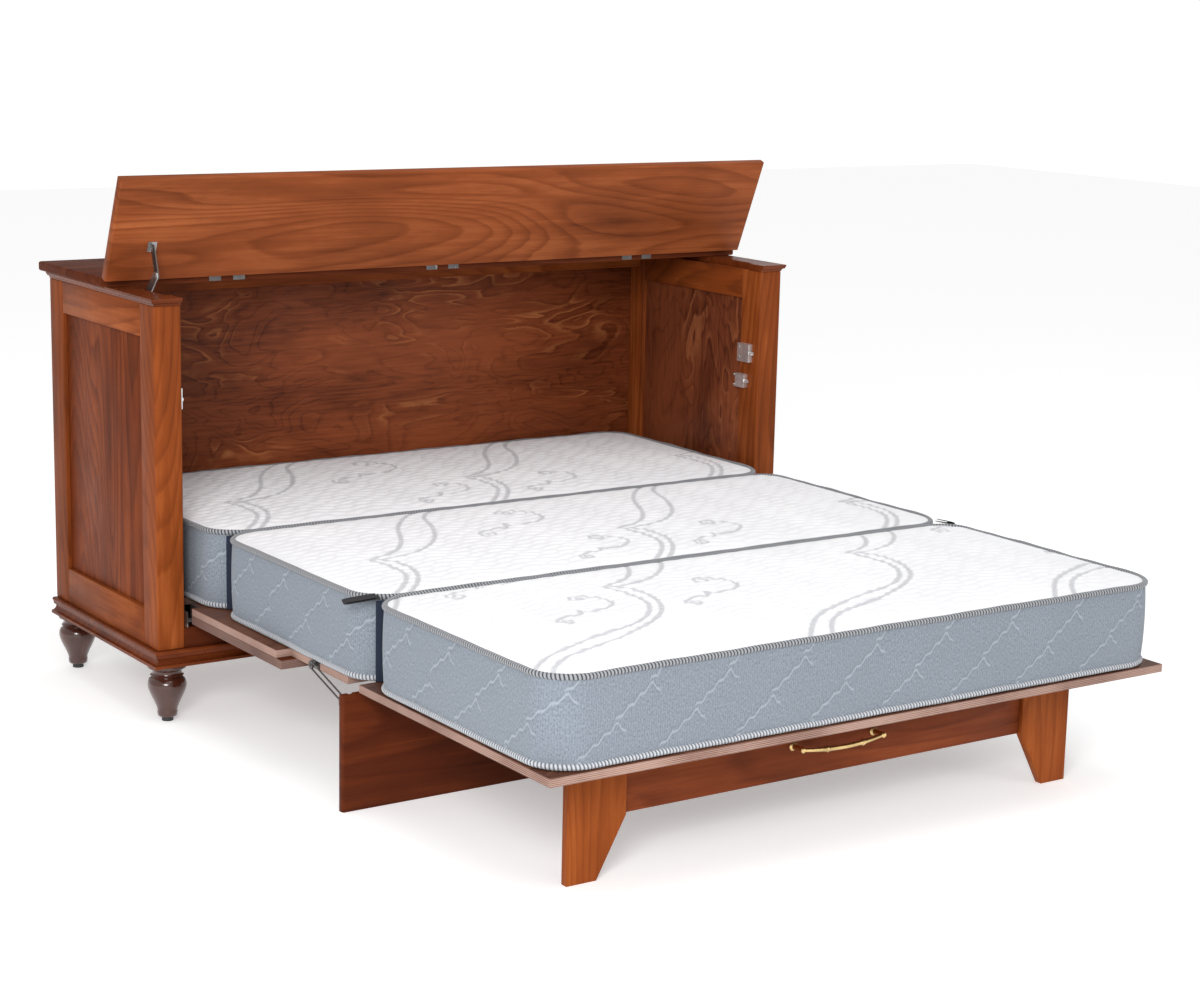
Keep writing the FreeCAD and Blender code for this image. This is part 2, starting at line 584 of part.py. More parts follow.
def catches():
    """Push catches on the posts: a housing with a sprung plunger, the lower ones set further back."""
    backs = (PIVOT[0] + DECK_UNDER - PIVOT[1] - CLOSED_GAP, PIVOT[0] + DECK_TOP - PIVOT[1])
    housings = []
    for level, height, back in zip(("upper", "lower"), CATCH_HEIGHTS, backs):
        tip = back + 0.6
        y0 = tip + PLUNGER_REACH
        for side, sign in (("left", -1), ("right", 1)):
            size = CATCH_SIZE if level == "upper" else CATCH_SIZE * 0.75
            shell = box(sign * (INNER - CATCH_THICKNESS), sign * INNER, y0, y0 + size,
                        height - size / 2, height + size / 2)
            x = sign * (INNER - CATCH_THICKNESS / 2)
            shell = shell.cut(rod_y(x, y0 - 1, y0 + 25, height, PLUNGER_RADIUS + RUNNING_CLEARANCE))
            housings.append(shell)
            keep(f"{side}_{level}_plunger", rod_y(x, tip, y0 + 18, height, PLUNGER_RADIUS))
    keep("catch_housings", *housings)


# ---------------------------------------------------------------- stays

def arm(x, start, end, width, thickness):
    """A flat link in the plane X = x with round ends, from start to end, each (y, z)."""
    length = math.hypot(end[0] - start[0], end[1] - start[1])
    angle = math.degrees(math.atan2(end[1] - start[1], end[0] - start[0]))
    flat = box(x - thickness / 2, x + thickness / 2, 0, length, -width / 2, width / 2)
    link = flat.fuse([rod(x - thickness / 2, x + thickness / 2, (0, 0), width / 2),
                      rod(x - thickness / 2, x + thickness / 2, (length, 0), width / 2)]).removeSplitter()
    link.rotate(Vector(0, 0, 0), Vector(1, 0, 0), angle)
    link.translate(Vector(0, start[0], start[1]))
    return link


def lid_stay():
    """The one folding stay: lower arm with the knee pin, upper arm with a slot, two brackets."""
    shut = (LID_AXIS[0] - LID_GAP / 2 - STAY_LID_BACK, TOP_UNDER - STAY_LID_DROP)
    lid_pin = turn_point(shut, LID_AXIS, -LID_OPEN_ANGLE)
    x_low, x_high = STAY_X, STAY_X - STAY_PLATE - 0.8
    play = STAY_PIN_RADIUS + RUNNING_CLEARANCE
    wall = INNER
    bracket = box(x_low + 2.2, wall, STAY_BASE[0] - 16, STAY_BASE[0] + 16,
                  STAY_BASE[1] - 26, STAY_BASE[1] + 12)
    bracket = bracket.fuse(rod(x_low - 3, wall, STAY_BASE, STAY_PIN_RADIUS))
    lower = arm(x_low, STAY_BASE, STAY_KNEE, STAY_WIDTH, STAY_PLATE)
    lower = bore(lower, x_low - 4, x_low + 4, STAY_BASE, play)
    lower = lower.fuse(rod(x_low + 1, x_high - 3, STAY_KNEE, STAY_PIN_RADIUS))
    dy, dz = STAY_KNEE[0] - lid_pin[0], STAY_KNEE[1] - lid_pin[1]
    length = math.hypot(dy, dz)
    unit = (dy / length, dz / length)
    far = (STAY_KNEE[0] + unit[0] * STAY_SLOT, STAY_KNEE[1] + unit[1] * STAY_SLOT)
    near = (STAY_KNEE[0] - unit[0] * STAY_SLOT, STAY_KNEE[1] - unit[1] * STAY_SLOT)
    upper = arm(x_high, lid_pin, far, STAY_WIDTH + 2, STAY_PLATE)
    upper = upper.cut(arm(x_high, near, far, 2 * STAY_PIN_RADIUS + 1.4, STAY_PLATE + 2))
    upper = bore(upper, x_high - 4, x_high + 4, lid_pin, play)
    base = box(x_high - 12, x_high + 9, shut[0] - 12, shut[0] + 12, TOP_UNDER - 1.5, TOP_UNDER)
    ear = box(x_high + 1.4, x_high + 3, shut[0] - 5, shut[0] + 5, shut[1] - 4, TOP_UNDER)
    pin = rod(x_high - 2.5, x_high + 2.5, shut, STAY_PIN_RADIUS)
    lid_bracket = turned(base.fuse([ear, pin]), LID_AXIS, -LID_OPEN_ANGLE)
    keep("stay_lower_arm", mirrored(lower))
    keep("stay_upper_arm", mirrored(upper))
    keep("stay_side_bracket", mirrored(bracket))
    keep("stay_lid_bracket", mirrored(lid_bracket))


def turn_point(point, about, degrees):
    angle = math.radians(degrees)
    y, z = point[0] - about[0], point[1] - about[1]
    return (about[0] + y * math.cos(angle) - z * math.sin(angle),
            about[1] + y * math.sin(angle) + z * math.cos(angle))


def kick_stays():
    """Wire loops from the deck to studs on the kick panel, one at each end."""
    x = KICK_STAY_X
    wire, half = KICK_STAY_WIRE, KICK_STAY_HALF_WIDTH
    pivot, stud = KICK_STAY_PIVOT, KICK_STUD
    reach = math.hypot(stud[0] - pivot[0], stud[1] - pivot[1]) + 1.5
    angle = math.degrees(math.atan2(stud[1] - pivot[1], stud[0] - pivot[0])) + 0.8
    eye = rod(x - 2, x + 2, (0, 0), half + wire)
    rails = [Part.makeCylinder(wire, reach, Vector(x, 0, s * half), Vector(0, 1, 0)) for s in (-1, 1)]
    end = Part.makeTorus(half, wire, Vector(x, reach, 0), Vector(1, 0, 0), 0, 360, 360)
    end = end.common(box(x - 10, x + 10, reach, reach + 20, -20, 20))
    loop = eye.fuse(rails + [end]).removeSplitter()
    loop = bore(loop, x - 4, x + 4, (0, 0), STAY_PIN_RADIUS + RUNNING_CLEARANCE)
    loop.rotate(Vector(0, 0, 0), Vector(1, 0, 0), angle)
    loop.translate(Vector(0, pivot[0], pivot[1]))
    edge = DECK_FRONT_WIDTH / 2
    bracket = box(edge, edge + 3, pivot[0] - 16, pivot[0] + 16, DECK_UNDER + 1, DECK_TOP - 1)
    bracket = bracket.fuse(rod(edge, x + 4, pivot, STAY_PIN_RADIUS))
    stud_bar = rod(x - 5, x + 11, stud, KICK_STUD_RADIUS)
    foot = box(x + 7, x + 11, KICK_BACK, stud[0] + 4, stud[1] - 9, stud[1] + 9)
    stud_bar = stud_bar.fuse(foot)
    keep("right_kick_stay", loop)
    keep("left_kick_stay", mirrored(loop))
    keep("kick_stay_brackets", bracket, mirrored(bracket))
    keep("kick_stay_studs", stud_bar, mirrored(stud_bar))


# ---------------------------------------------------------------- mattress

def mattress():
    """Three sections with rounded upright corners, the middle one hollowed over the hinges."""
    half = DECK_HALF - MATTRESS_SETBACK
    groove, depth = HINGE_GROOVE
    foot_front = FOOT_PANEL_FRONT + MATTRESS_FRONT_EDGE
    middle_front = foot_front + MATTRESS_SECTION + MATTRESS_GAP
    head_front = middle_front + MATTRESS_SECTION + MATTRESS_GAP
    lengths = {
        "head": (head_front, BACK_INNER - MATTRESS_BACK_GAP),
        "middle": (middle_front, middle_front + MATTRESS_SECTION),
        "foot": (foot_front, foot_front + MATTRESS_SECTION),
    }
    for name, (front, back) in lengths.items():
        section = box(-half, half, front, back, DECK_TOP, MATTRESS_TOP)
        section = eased(section, MATTRESS_CORNER, lambda e: runs_along(e, "z"))
        if name == "middle":
            y = FOLD_AXIS[0]
            section = section.cut(box(-half - 1, half + 1, y - groove / 2, y + groove / 2,
                                      DECK_TOP - 1, DECK_TOP + depth))
        keep(f"mattress_{name}", section)


def write():
    os.makedirs("parts", exist_ok=True)
    for name, shape in PARTS.items():
        placed = shape.copy()
        placed.translate(Vector(0, -ORIGIN_Y, 0))
        placed.exportStep(f"parts/{name}.step")


side_frames()
carcass_boards()
top_moulding()
base_moulding()
top_boards()
feet()
lid_hinges()
deck()
kick_panel()
foot_panel()
leg_frame()
handle()
catches()
lid_stay()
kick_stays()
mattress()
write()
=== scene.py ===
"""Cabinet bed, opened out: stained cherry chest, folding deck and a three-part quilted mattress."""

import json
import math

import bmesh
import bpy
from mathutils import Matrix, Vector


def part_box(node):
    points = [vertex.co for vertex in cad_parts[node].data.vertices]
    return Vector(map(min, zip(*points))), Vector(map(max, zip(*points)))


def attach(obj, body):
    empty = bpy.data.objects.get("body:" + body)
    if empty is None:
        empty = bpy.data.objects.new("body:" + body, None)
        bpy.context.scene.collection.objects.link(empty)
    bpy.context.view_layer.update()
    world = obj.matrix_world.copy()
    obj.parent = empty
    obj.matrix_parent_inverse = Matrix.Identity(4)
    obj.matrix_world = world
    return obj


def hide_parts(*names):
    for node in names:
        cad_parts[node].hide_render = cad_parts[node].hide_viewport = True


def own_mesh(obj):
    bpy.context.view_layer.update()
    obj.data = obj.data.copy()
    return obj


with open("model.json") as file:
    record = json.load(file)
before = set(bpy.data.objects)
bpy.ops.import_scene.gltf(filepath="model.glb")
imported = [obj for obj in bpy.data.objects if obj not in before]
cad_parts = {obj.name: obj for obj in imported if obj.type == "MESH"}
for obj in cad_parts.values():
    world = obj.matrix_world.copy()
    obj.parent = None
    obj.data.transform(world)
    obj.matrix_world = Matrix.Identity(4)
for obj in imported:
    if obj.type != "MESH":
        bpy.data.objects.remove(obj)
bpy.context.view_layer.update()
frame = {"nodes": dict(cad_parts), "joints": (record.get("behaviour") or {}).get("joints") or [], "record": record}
scene = bpy.context.scene
NODES = frame["nodes"]


# ================================================================ helpers

def new_object(name, bm, materials, body, smooth_angle=35):
    """Finish a bmesh as an object that rides on a body."""
    mesh = bpy.data.meshes.new(name)
    bm.to_mesh(mesh)
    bm.free()
    for face in mesh.polygons:
        face.use_smooth = True
    mesh.set_sharp_from_angle(angle=math.radians(smooth_angle))
    for material in materials:
        mesh.materials.append(material)
    piece = bpy.data.objects.new(name, mesh)
    scene.collection.objects.link(piece)
    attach(piece, body)
    return piece


def low_high(node):
    """The two corners of a CAD node's box."""
    low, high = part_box(node)
    return Vector(low), Vector(high)


def middle(node):
    """The centre of a CAD node's box."""
    low, high = low_high(node)
    return (low + high) / 2


def joint_place(name):
    """A point on a joint's axis."""
    return next(j for j in frame["joints"] if j["name"] == name)["pos_m"]


def sweep(bm, outline, stations):
    """Extrude a closed outline of (u, v) points; each station turns a point of it into a place."""
    spot = bm.verts.layers.float_vector.new("outline")
    ring = []
    for u, v in outline:
        vert = bm.verts.new(stations[0](u, v))
        vert[spot] = (u, v, 0)
        ring.append(vert)
    end = bm.faces.new(ring)
    for station in stations[1:]:
        grown = bmesh.ops.extrude_face_region(bm, geom=[end, *end.edges, *end.verts])["geom"]
        end = next(item for item in grown if isinstance(item, bmesh.types.BMFace))
        for vert in end.verts:
            vert.co = station(*vert[spot][:2])
    bm.verts.layers.float_vector.remove(spot)


# ================================================================ shader groups

class Nodes:
    """A node tree with short calls for the nodes that the finishes use."""

    def __init__(self, tree):
        self.tree = tree
        self.made = 0

    def add(self, kind, **settings):
        node = self.tree.nodes.new(kind)
        node.location = (self.made % 12 * 180, -(self.made // 12) * 260)
        self.made += 1
        for key, value in settings.items():
            setattr(node, key, value)
        return node

    def link(self, value, socket):
        if hasattr(value, "is_output"):
            self.tree.links.new(value, socket)
        else:
            socket.default_value = value

    def fill(self, node, **values):
        """Set or link a node's sockets by name, with _ for spaces."""
        for label, value in values.items():
            self.link(value, node.inputs[label.replace("_", " ")])

    def math(self, operation, a, b=0.0):
        node = self.add("ShaderNodeMath", operation=operation)
        for value, socket in zip((a, b), node.inputs):
            self.link(value, socket)
        return node.outputs[0]

    def times(self, a, b):
        return self.math("MULTIPLY", a, b)

    def plus(self, a, b):
        return self.math("ADD", a, b)

    def minus(self, a, b):
        return self.math("SUBTRACT", a, b)

    def mix(self, factor, a, b, blend="MIX"):
        node = self.add("ShaderNodeMix", data_type="RGBA", blend_type=blend)
        self.link(factor, node.inputs[0])
        self.link(a, node.inputs[6])
        self.link(b, node.inputs[7])
        return node.outputs[2]

    def blend(self, factor, a, b):
        node = self.add("ShaderNodeMix", data_type="FLOAT")
        self.link(factor, node.inputs[0])
        self.link(a, node.inputs[2])
        self.link(b, node.inputs[3])
        return node.outputs[0]

    def span(self, value, low, high, to_low=0.0, to_high=1.0):
        node = self.add("ShaderNodeMapRange")
        for item, socket in zip((value, low, high, to_low, to_high), node.inputs):
            self.link(item, socket)
        return node.outputs[0]

    def noise(self, vector, scale, detail=3.0, rough=0.5, distortion=0.0):
        node = self.add("ShaderNodeTexNoise")
        self.fill(node, Vector=vector, Scale=scale, Detail=detail, Roughness=rough, Distortion=distortion)
        return node.outputs["Fac"]

    def stretch(self, vector, scale, offset=(0, 0, 0)):
        node = self.add("ShaderNodeMapping")
        self.fill(node, Vector=vector, Scale=scale, Location=offset)
        return node.outputs[0]

    def ramp(self, value, stops, ease="LINEAR"):
        node = self.add("ShaderNodeValToRGB")
        node.color_ramp.interpolation = ease
        band = node.color_ramp.elements
        while len(band) < len(stops):
            band.new(0.5)
        for element, (place, shade) in zip(band, stops):
            element.position = place
            element.color = (*shade, 1) if len(shade) == 3 else shade
        self.link(value, node.inputs[0])
        return node.outputs[0]


def group(name, inputs, outputs, build):
    """A shader node group with named sockets; build(nodes, inputs) returns {output: socket}."""
    tree = bpy.data.node_groups.new(name, "ShaderNodeTree")
    for label, kind, value in inputs:
        socket = tree.interface.new_socket(label, in_out="INPUT", socket_type=kind)
        if value is not None:
            socket.default_value = value
    for label, kind in outputs:
        tree.interface.new_socket(label, in_out="OUTPUT", socket_type=kind)
    nodes = Nodes(tree)
    start, end = nodes.add("NodeGroupInput"), nodes.add("NodeGroupOutput")
    for label, value in build(nodes, start.outputs).items():
        tree.links.new(value, end.inputs[label])
    return tree


def use(nodes, tree, **values):
    """Place a group with its inputs by name; returns its outputs."""
    node = nodes.add("ShaderNodeGroup", node_tree=tree)
    nodes.fill(node, **values)
    return node.outputs


def grain_build(n, i):
    """Growth rings as level lines of a stretched noise, with fibres, pores and slow tone drift."""
    at = i["Vector"]
    drift = n.noise(n.stretch(at, (0.9, 3.2, 3.2)), 1.0, 2.0)
    blotch = n.noise(n.stretch(at, (2.4, 9.0, 9.0), (6, 1, 2)), 1.0, 4.0, 0.62)
    ring_noise = n.noise(n.stretch(at, (0.50, 3.0, 3.0), (3.1, 7.7, 1.9)), 1.0, 2.0, 0.4, 0.25)
    tremor = n.noise(n.stretch(at, (6.0, 60.0, 60.0)), 1.0, 2.0)
    level = n.times(ring_noise, i["Rings"])
    level = n.plus(level, n.times(tremor, 0.35))
    ring = n.math("FRACT", level)
    edge = n.math("POWER", ring, 3.0)
    edge = n.times(edge, n.span(ring, 0.86, 1.0, 1.0, 0.0))
    fibre = n.noise(n.stretch(at, (5.0, 230.0, 230.0)), 1.0, 3.0, 0.6)
    coarse = n.noise(n.stretch(at, (2.2, 46.0, 46.0), (2, 1, 0)), 1.0, 3.0, 0.6)
    pores = n.span(n.noise(n.stretch(at, (26.0, 700.0, 700.0)), 1.0, 1.0), 0.64, 0.76)
    tone = n.times(edge, i["Ring Depth"])
    tone = n.plus(tone, n.span(coarse, 0.3, 0.72, 0.0, 0.26))
    tone = n.plus(tone, n.span(fibre, 0.3, 0.7, 0.0, 0.16))
    tone = n.plus(tone, n.span(blotch, 0.30, 0.70, -0.16, 0.34))
    tone = n.plus(tone, n.span(drift, 0.32, 0.68, -0.08, 0.20))
    height = n.minus(n.times(fibre, 0.5), n.times(pores, 0.8))
    return {"Tone": tone, "Height": height, "Pores": pores, "Drift": drift}


GRAIN = group(
    "wood grain",
    [("Vector", "NodeSocketVector", None), ("Rings", "NodeSocketFloat", 9.0),
     ("Ring Depth", "NodeSocketFloat", 0.5)],
    [("Tone", "NodeSocketFloat"), ("Height", "NodeSocketFloat"), ("Pores", "NodeSocketFloat"),
     ("Drift", "NodeSocketFloat")],
    grain_build)


def veneer_build(n, i):
    """Rotary-cut ply: ragged level lines that wander and close into islands, pale in places."""
    at = i["Vector"]
    bend = n.noise(n.stretch(at, (2.8, 8.0, 8.0)), 1.0, 2.0, 0.5, 0.8)
    ragged = n.noise(n.stretch(at, (14.0, 42.0, 42.0)), 1.0, 4.0, 0.7)
    level = n.plus(n.times(bend, i["Lines"]), n.times(ragged, 0.75))
    ring = n.math("FRACT", level)
    pale = n.times(n.span(ring, 0.60, 0.90), n.span(ring, 0.93, 1.0, 1.0, 0.0))
    deep = n.times(n.span(ring, 0.0, 0.06), n.span(ring, 0.08, 0.34, 1.0, 0.0))
    gate = n.span(n.noise(n.stretch(at, (3.0, 7.0, 7.0), (4, 4, 4)), 1.0, 3.0, 0.6), 0.50, 0.66)
    spot = n.span(n.noise(n.stretch(at, (14.0, 34.0, 34.0), (1, 8, 4)), 1.0, 3.0, 0.6), 0.60, 0.72)
    line = n.math("MAXIMUM", n.times(pale, gate), n.times(n.times(spot, gate), 0.5))
    cloud = n.noise(n.stretch(at, (1.6, 4.5, 4.5), (9, 2, 5)), 1.0, 5.0, 0.62)
    fibre = n.noise(n.stretch(at, (9.0, 170.0, 170.0)), 1.0, 3.0, 0.6)
    tone = n.plus(n.span(cloud, 0.3, 0.72, 0.0, 0.66), n.span(fibre, 0.3, 0.7, 0.0, 0.32))
    tone = n.minus(tone, n.times(deep, 0.20))
    return {"Tone": tone, "Line": line, "Height": fibre}


VENEER = group(
    "rotary veneer",
    [("Vector", "NodeSocketVector", None), ("Lines", "NodeSocketFloat", 14.0)],
    [("Tone", "NodeSocketFloat"), ("Line", "NodeSocketFloat"), ("Height", "NodeSocketFloat")],
    veneer_build)


def dust_build(n, i):
    """Handling: faint smears and specks that change the gloss."""
    smear = n.noise(n.stretch(i["Vector"], (6, 6, 6)), 1.0, 4.0, 0.65)
    speck = n.noise(n.stretch(i["Vector"], (180, 180, 180)), 1.0, 1.0)
    gloss = n.plus(n.span(smear, 0.3, 0.7, -0.06, 0.07), n.span(speck, 0.3, 0.7, -0.02, 0.03))
    return {"Gloss": n.plus(i["Rough"], gloss)}


DUST = group(
    "handling",
    [("Vector", "NodeSocketVector", None), ("Rough", "NodeSocketFloat", 0.4)],
    [("Gloss", "NodeSocketFloat")],
    dust_build)


# ================================================================ finishes

AXIS_TURN = {"X": (0, 0, 0), "Y": (0, 0, math.pi / 2), "Z": (0, math.pi / 2, 0)}


def finish(name):
    """An empty material with its Principled shader; returns material, nodes, shader."""
    material = bpy.data.materials.new(name)
    material.use_nodes = True
    tree = material.node_tree
    tree.nodes.clear()
    nodes = Nodes(tree)
    out = nodes.add("ShaderNodeOutputMaterial")
    shader = nodes.add("ShaderNodeBsdfPrincipled")
    tree.links.new(shader.outputs[0], out.inputs[0])
    return material, nodes, shader


def object_vector(nodes, turn=(0, 0, 0), offset=(0, 0, 0)):
    """Object coordinates, turned so that the grain runs along X."""
    at = nodes.add("ShaderNodeTexCoord").outputs["Object"]
    mapping = nodes.add("ShaderNodeMapping")
    nodes.fill(mapping, Vector=at, Rotation=turn, Location=offset)
    return mapping.outputs[0]


def bump(nodes, shader, height, strength, distance):
    """Give the shader a bump from a height."""
    node = nodes.add("ShaderNodeBump")
    nodes.fill(node, Strength=strength, Distance=distance, Height=height)
    nodes.link(node.outputs[0], shader.inputs["Normal"])


def stained_wood(name, along, dark, mid, light, rings=30.0, depth=0.42, rough=0.42, coat=0.0, gloss=0.06,
                 shift=0.0):
    """Solid cherry under stain and lacquer, grain running along X, Y or Z."""
    material, n, shader = finish(name)
    at = object_vector(n, AXIS_TURN[along], (shift, shift * 1.7, shift * 0.6))
    grain = use(n, GRAIN, Vector=at, Rings=rings, Ring_Depth=depth)
    colour = n.ramp(grain["Tone"], [(0.0, light), (0.42, mid), (0.95, dark)])
    colour = n.mix(n.times(grain["Pores"], 0.35), colour, (*dark, 1))
    warm = n.span(n.noise(n.stretch(at, (1.3, 2.2, 2.2), (5, 5, 5)), 1.0, 2.0), 0.35, 0.65, 0.0, 0.28)
    colour = n.mix(warm, colour, (light[0] * 1.05, light[1] * 0.8, light[2] * 0.6, 1))
    n.fill(shader, Base_Color=colour, Roughness=use(n, DUST, Vector=at, Rough=rough)["Gloss"],
           Specular_IOR_Level=gloss, Coat_Weight=coat, Coat_Roughness=0.22)
    bump(n, shader, grain["Height"], 0.16, 0.0006)
    return material


def stained_veneer(name, along, dark, mid, line, lines=14.0, rough=0.42):
    """Ply face under the same stain, with the pale wandering figure of rotary veneer."""
    material, n, shader = finish(name)
    at = object_vector(n, AXIS_TURN[along], (0.7, 0.3, 0.9))
    veneer = use(n, VENEER, Vector=at, Lines=lines)
    colour = n.ramp(veneer["Tone"], [(0.05, dark), (0.75, mid)])
    colour = n.mix(n.times(veneer["Line"], 0.42), colour, (*line, 1))
    n.fill(shader, Base_Color=colour, Roughness=use(n, DUST, Vector=at, Rough=rough)["Gloss"],
           Specular_IOR_Level=0.12)
    bump(n, shader, veneer["Height"], 0.12, 0.0005)
    return material


def ply_edge(name, tint, dark):
    """Cut edge of plywood: thin plies in turn, long grain and end grain, with saw marks."""
    material, n, shader = finish(name)
    at = object_vector(n)
    split = n.add("ShaderNodeSeparateXYZ")
    n.link(at, split.inputs[0])
    wobble = n.times(n.noise(n.stretch(at, (3, 3, 40)), 1.0, 2.0), 0.0012)
    ply = n.math("FRACT", n.times(n.plus(split.outputs[2], wobble), 290.0))
    stripe = n.times(n.span(ply, 0.38, 0.5), n.span(ply, 0.88, 1.0, 1.0, 0.0))
    rough_cut = n.noise(n.stretch(at, (60, 60, 500)), 1.0, 4.0, 0.7)
    blotch = n.noise(n.stretch(at, (5, 5, 5)), 1.0, 3.0)
    tone = n.plus(n.times(stripe, 0.5), n.times(rough_cut, 0.55))
    tone = n.plus(tone, n.span(blotch, 0.35, 0.65, -0.2, 0.2))
    n.fill(shader, Base_Color=n.ramp(tone, [(0.2, tint), (0.9, dark)]), Roughness=0.75)
    bump(n, shader, rough_cut, 0.35, 0.0008)
    return material


def plated_metal(name, colour, rough, scratch=0.08, worn=None):
    """Plated or painted steel and brass, brushed along X with small stains."""
    material, n, shader = finish(name)
    at = object_vector(n)
    brushed = n.noise(n.stretch(at, (30, 900, 900)), 1.0, 2.0)
    stain = n.noise(n.stretch(at, (35, 35, 35)), 1.0, 4.0, 0.6)
    shade = tuple(c * 0.62 for c in colour)
    tint = n.mix(n.span(stain, 0.35, 0.75), (*colour, 1), (*shade, 1))
    if worn:
        tint = n.mix(n.span(stain, 0.62, 0.7), tint, (*worn, 1))
    brush = n.span(brushed, 0.3, 0.7, rough - scratch, rough + scratch)
    n.fill(shader, Base_Color=tint, Metallic=1.0, Roughness=n.plus(brush, n.span(stain, 0.3, 0.8, 0.0, 0.1)))
    bump(n, shader, brushed, 0.05, 0.0003)
    return material


def matt_plastic(name, colour):
    """Moulded plastic with a fine fleck."""
    material, n, shader = finish(name)
    at = object_vector(n)
    fleck = n.noise(n.stretch(at, (300, 300, 300)), 1.0, 2.0)
    paler = tuple(c * 1.5 for c in colour)
    n.fill(shader, Base_Color=n.mix(n.span(fleck, 0.3, 0.7), (*colour, 1), (*paler, 1)),
           Roughness=n.span(fleck, 0.3, 0.7, 0.45, 0.62))
    bump(n, shader, fleck, 0.15, 0.0003)
    return material


def weave_build(n, i):
    """Fine knitted loops: two crossed waves, on a surface map in metres."""
    fine = n.add("ShaderNodeTexWave", wave_type="BANDS", bands_direction="X", wave_profile="SIN")
    cross = n.add("ShaderNodeTexWave", wave_type="BANDS", bands_direction="Y", wave_profile="SIN")
    for wave, size in ((fine, 320.0), (cross, 210.0)):
        n.fill(wave, Vector=i["Vector"], Scale=size, Distortion=1.5, Detail_Scale=3.0)
    return {"Height": n.times(fine.outputs["Fac"], cross.outputs["Fac"])}


WEAVE = group("knit", [("Vector", "NodeSocketVector", None)], [("Height", "NodeSocketFloat")], weave_build)


def quilt_top(name):
    """White knit ticking; the woven figure comes from the mesh's own figure attribute."""
    material, n, shader = finish(name)
    at = object_vector(n)
    figure = n.add("ShaderNodeAttribute", attribute_name="figure").outputs["Fac"]
    knit = use(n, WEAVE, Vector=at)["Height"]
    cloud = n.noise(n.stretch(at, (4, 4, 4)), 1.0, 3.0)
    streak = n.noise(n.stretch(at, (20, 90, 20)), 1.0, 3.0, 0.6)
    white = n.mix(n.span(cloud, 0.3, 0.7), (0.79, 0.79, 0.815, 1), (0.85, 0.85, 0.865, 1))
    white = n.mix(n.span(streak, 0.5, 0.8, 0.0, 0.35), white, (0.72, 0.73, 0.76, 1))
    broken = n.span(n.noise(n.stretch(at, (420, 420, 420)), 1.0, 1.0), 0.3, 0.6, 0.72, 1.0)
    ink = n.times(figure, broken)
    n.fill(shader, Base_Color=n.mix(n.times(ink, 0.78), white, (0.41, 0.415, 0.44, 1)), Roughness=0.85,
           Sheen_Weight=0.25, Sheen_Roughness=0.4)
    bump(n, shader, knit, 0.25, 0.0006)
    return material


PEAK_SPACING, ROW_SPACING, PEAK_ROWS = 0.176, 0.064, 4     # metres between peaks, and between rows


def mountains_build(n, i):
    """Stitched mountain lines on a map in metres: a long ragged rise, a short fall, in staggered rows."""
    split = n.add("ShaderNodeSeparateXYZ")
    n.link(i["Vector"], split.inputs[0])
    wander = n.noise(n.stretch(i["Vector"], (60, 60, 1)), 1.0, 2.0)
    height = n.plus(split.outputs[1], n.times(n.minus(wander, 0.5), 0.007))
    line, valley = 0.0, 0.0
    for row in range(PEAK_ROWS):
        stagger = 0.5 * (row % 2) + 0.07 * row
        step = n.math("FRACT", n.plus(n.math("DIVIDE", split.outputs[0], PEAK_SPACING), stagger))
        rise = n.span(step, 0.0, 0.52, 0.0, 0.066)
        fall = n.span(step, 0.52, 0.62, 0.0, 0.020)
        ragged = n.times(n.math("PINGPONG", step, 0.07), 0.10)
        level = n.plus(n.minus(n.plus(rise, ragged), fall), ROW_SPACING * row - 0.062)
        away = n.math("ABSOLUTE", n.minus(height, level))
        there = n.times(n.span(step, 0.60, 0.63, 1.0, 0.0), n.span(step, 0.03, 0.07))
        line = n.math("MAXIMUM", line, n.times(n.span(away, 0.0012, 0.0038, 1.0, 0.0), there))
        # valley: a band either side of each stitched line, used for its bump and, in the border, for painted shade
        # in the crease
        valley = n.math("MAXIMUM", valley, n.times(n.span(away, 0.0, 0.011, 1.0, 0.0), there))
    return {"Line": line, "Valley": valley}


MOUNTAINS = group("mountain stitching", [("Vector", "NodeSocketVector", None)],
                  [("Line", "NodeSocketFloat"), ("Valley", "NodeSocketFloat")], mountains_build)


def border_cloth(name):
    """Grey-blue woven border: fine ribs, heathered flecks and stitched mountain lines, with painted shade
    darkening the valleys beside the stitches.
    """
    material, n, shader = finish(name)
    cloth = n.add("ShaderNodeUVMap", uv_map="cloth").outputs[0]
    stitch = use(n, MOUNTAINS, Vector=cloth)
    ribs = n.add("ShaderNodeTexWave", wave_type="BANDS", bands_direction="X")
    n.fill(ribs, Vector=cloth, Scale=62.0, Distortion=0.8)
    fleck = n.noise(n.stretch(cloth, (330, 190, 1)), 1.0, 4.0, 0.72)
    drift = n.noise(n.stretch(cloth, (5, 7, 1)), 1.0, 3.0)
    base = n.mix(n.span(fleck, 0.36, 0.64), (0.115, 0.135, 0.165, 1), (0.26, 0.295, 0.34, 1))
    base = n.mix(n.times(ribs.outputs["Fac"], 0.25), base, (0.29, 0.325, 0.37, 1))
    base = n.mix(n.span(drift, 0.35, 0.65, 0.0, 0.28), base, (0.175, 0.20, 0.235, 1))
    # painted shade: the cloth is darkened in the valleys beside the stitched lines, where the quilted crease falls
    # in shade
    base = n.mix(n.times(stitch["Valley"], 0.22), base, (0.11, 0.13, 0.16, 1))
    n.fill(shader, Base_Color=n.mix(n.times(stitch["Line"], 0.6), base, (0.36, 0.40, 0.45, 1)),
           Roughness=0.85, Sheen_Weight=0.12)
    height = n.plus(n.times(ribs.outputs["Fac"], 0.12), n.times(fleck, 0.2))
    height = n.minus(height, n.times(stitch["Valley"], 1.3))
    bump(n, shader, n.plus(height, n.times(stitch["Line"], 0.5)), 0.5, 0.0025)
    return material


STRANDS_PER_METRE = 135.0


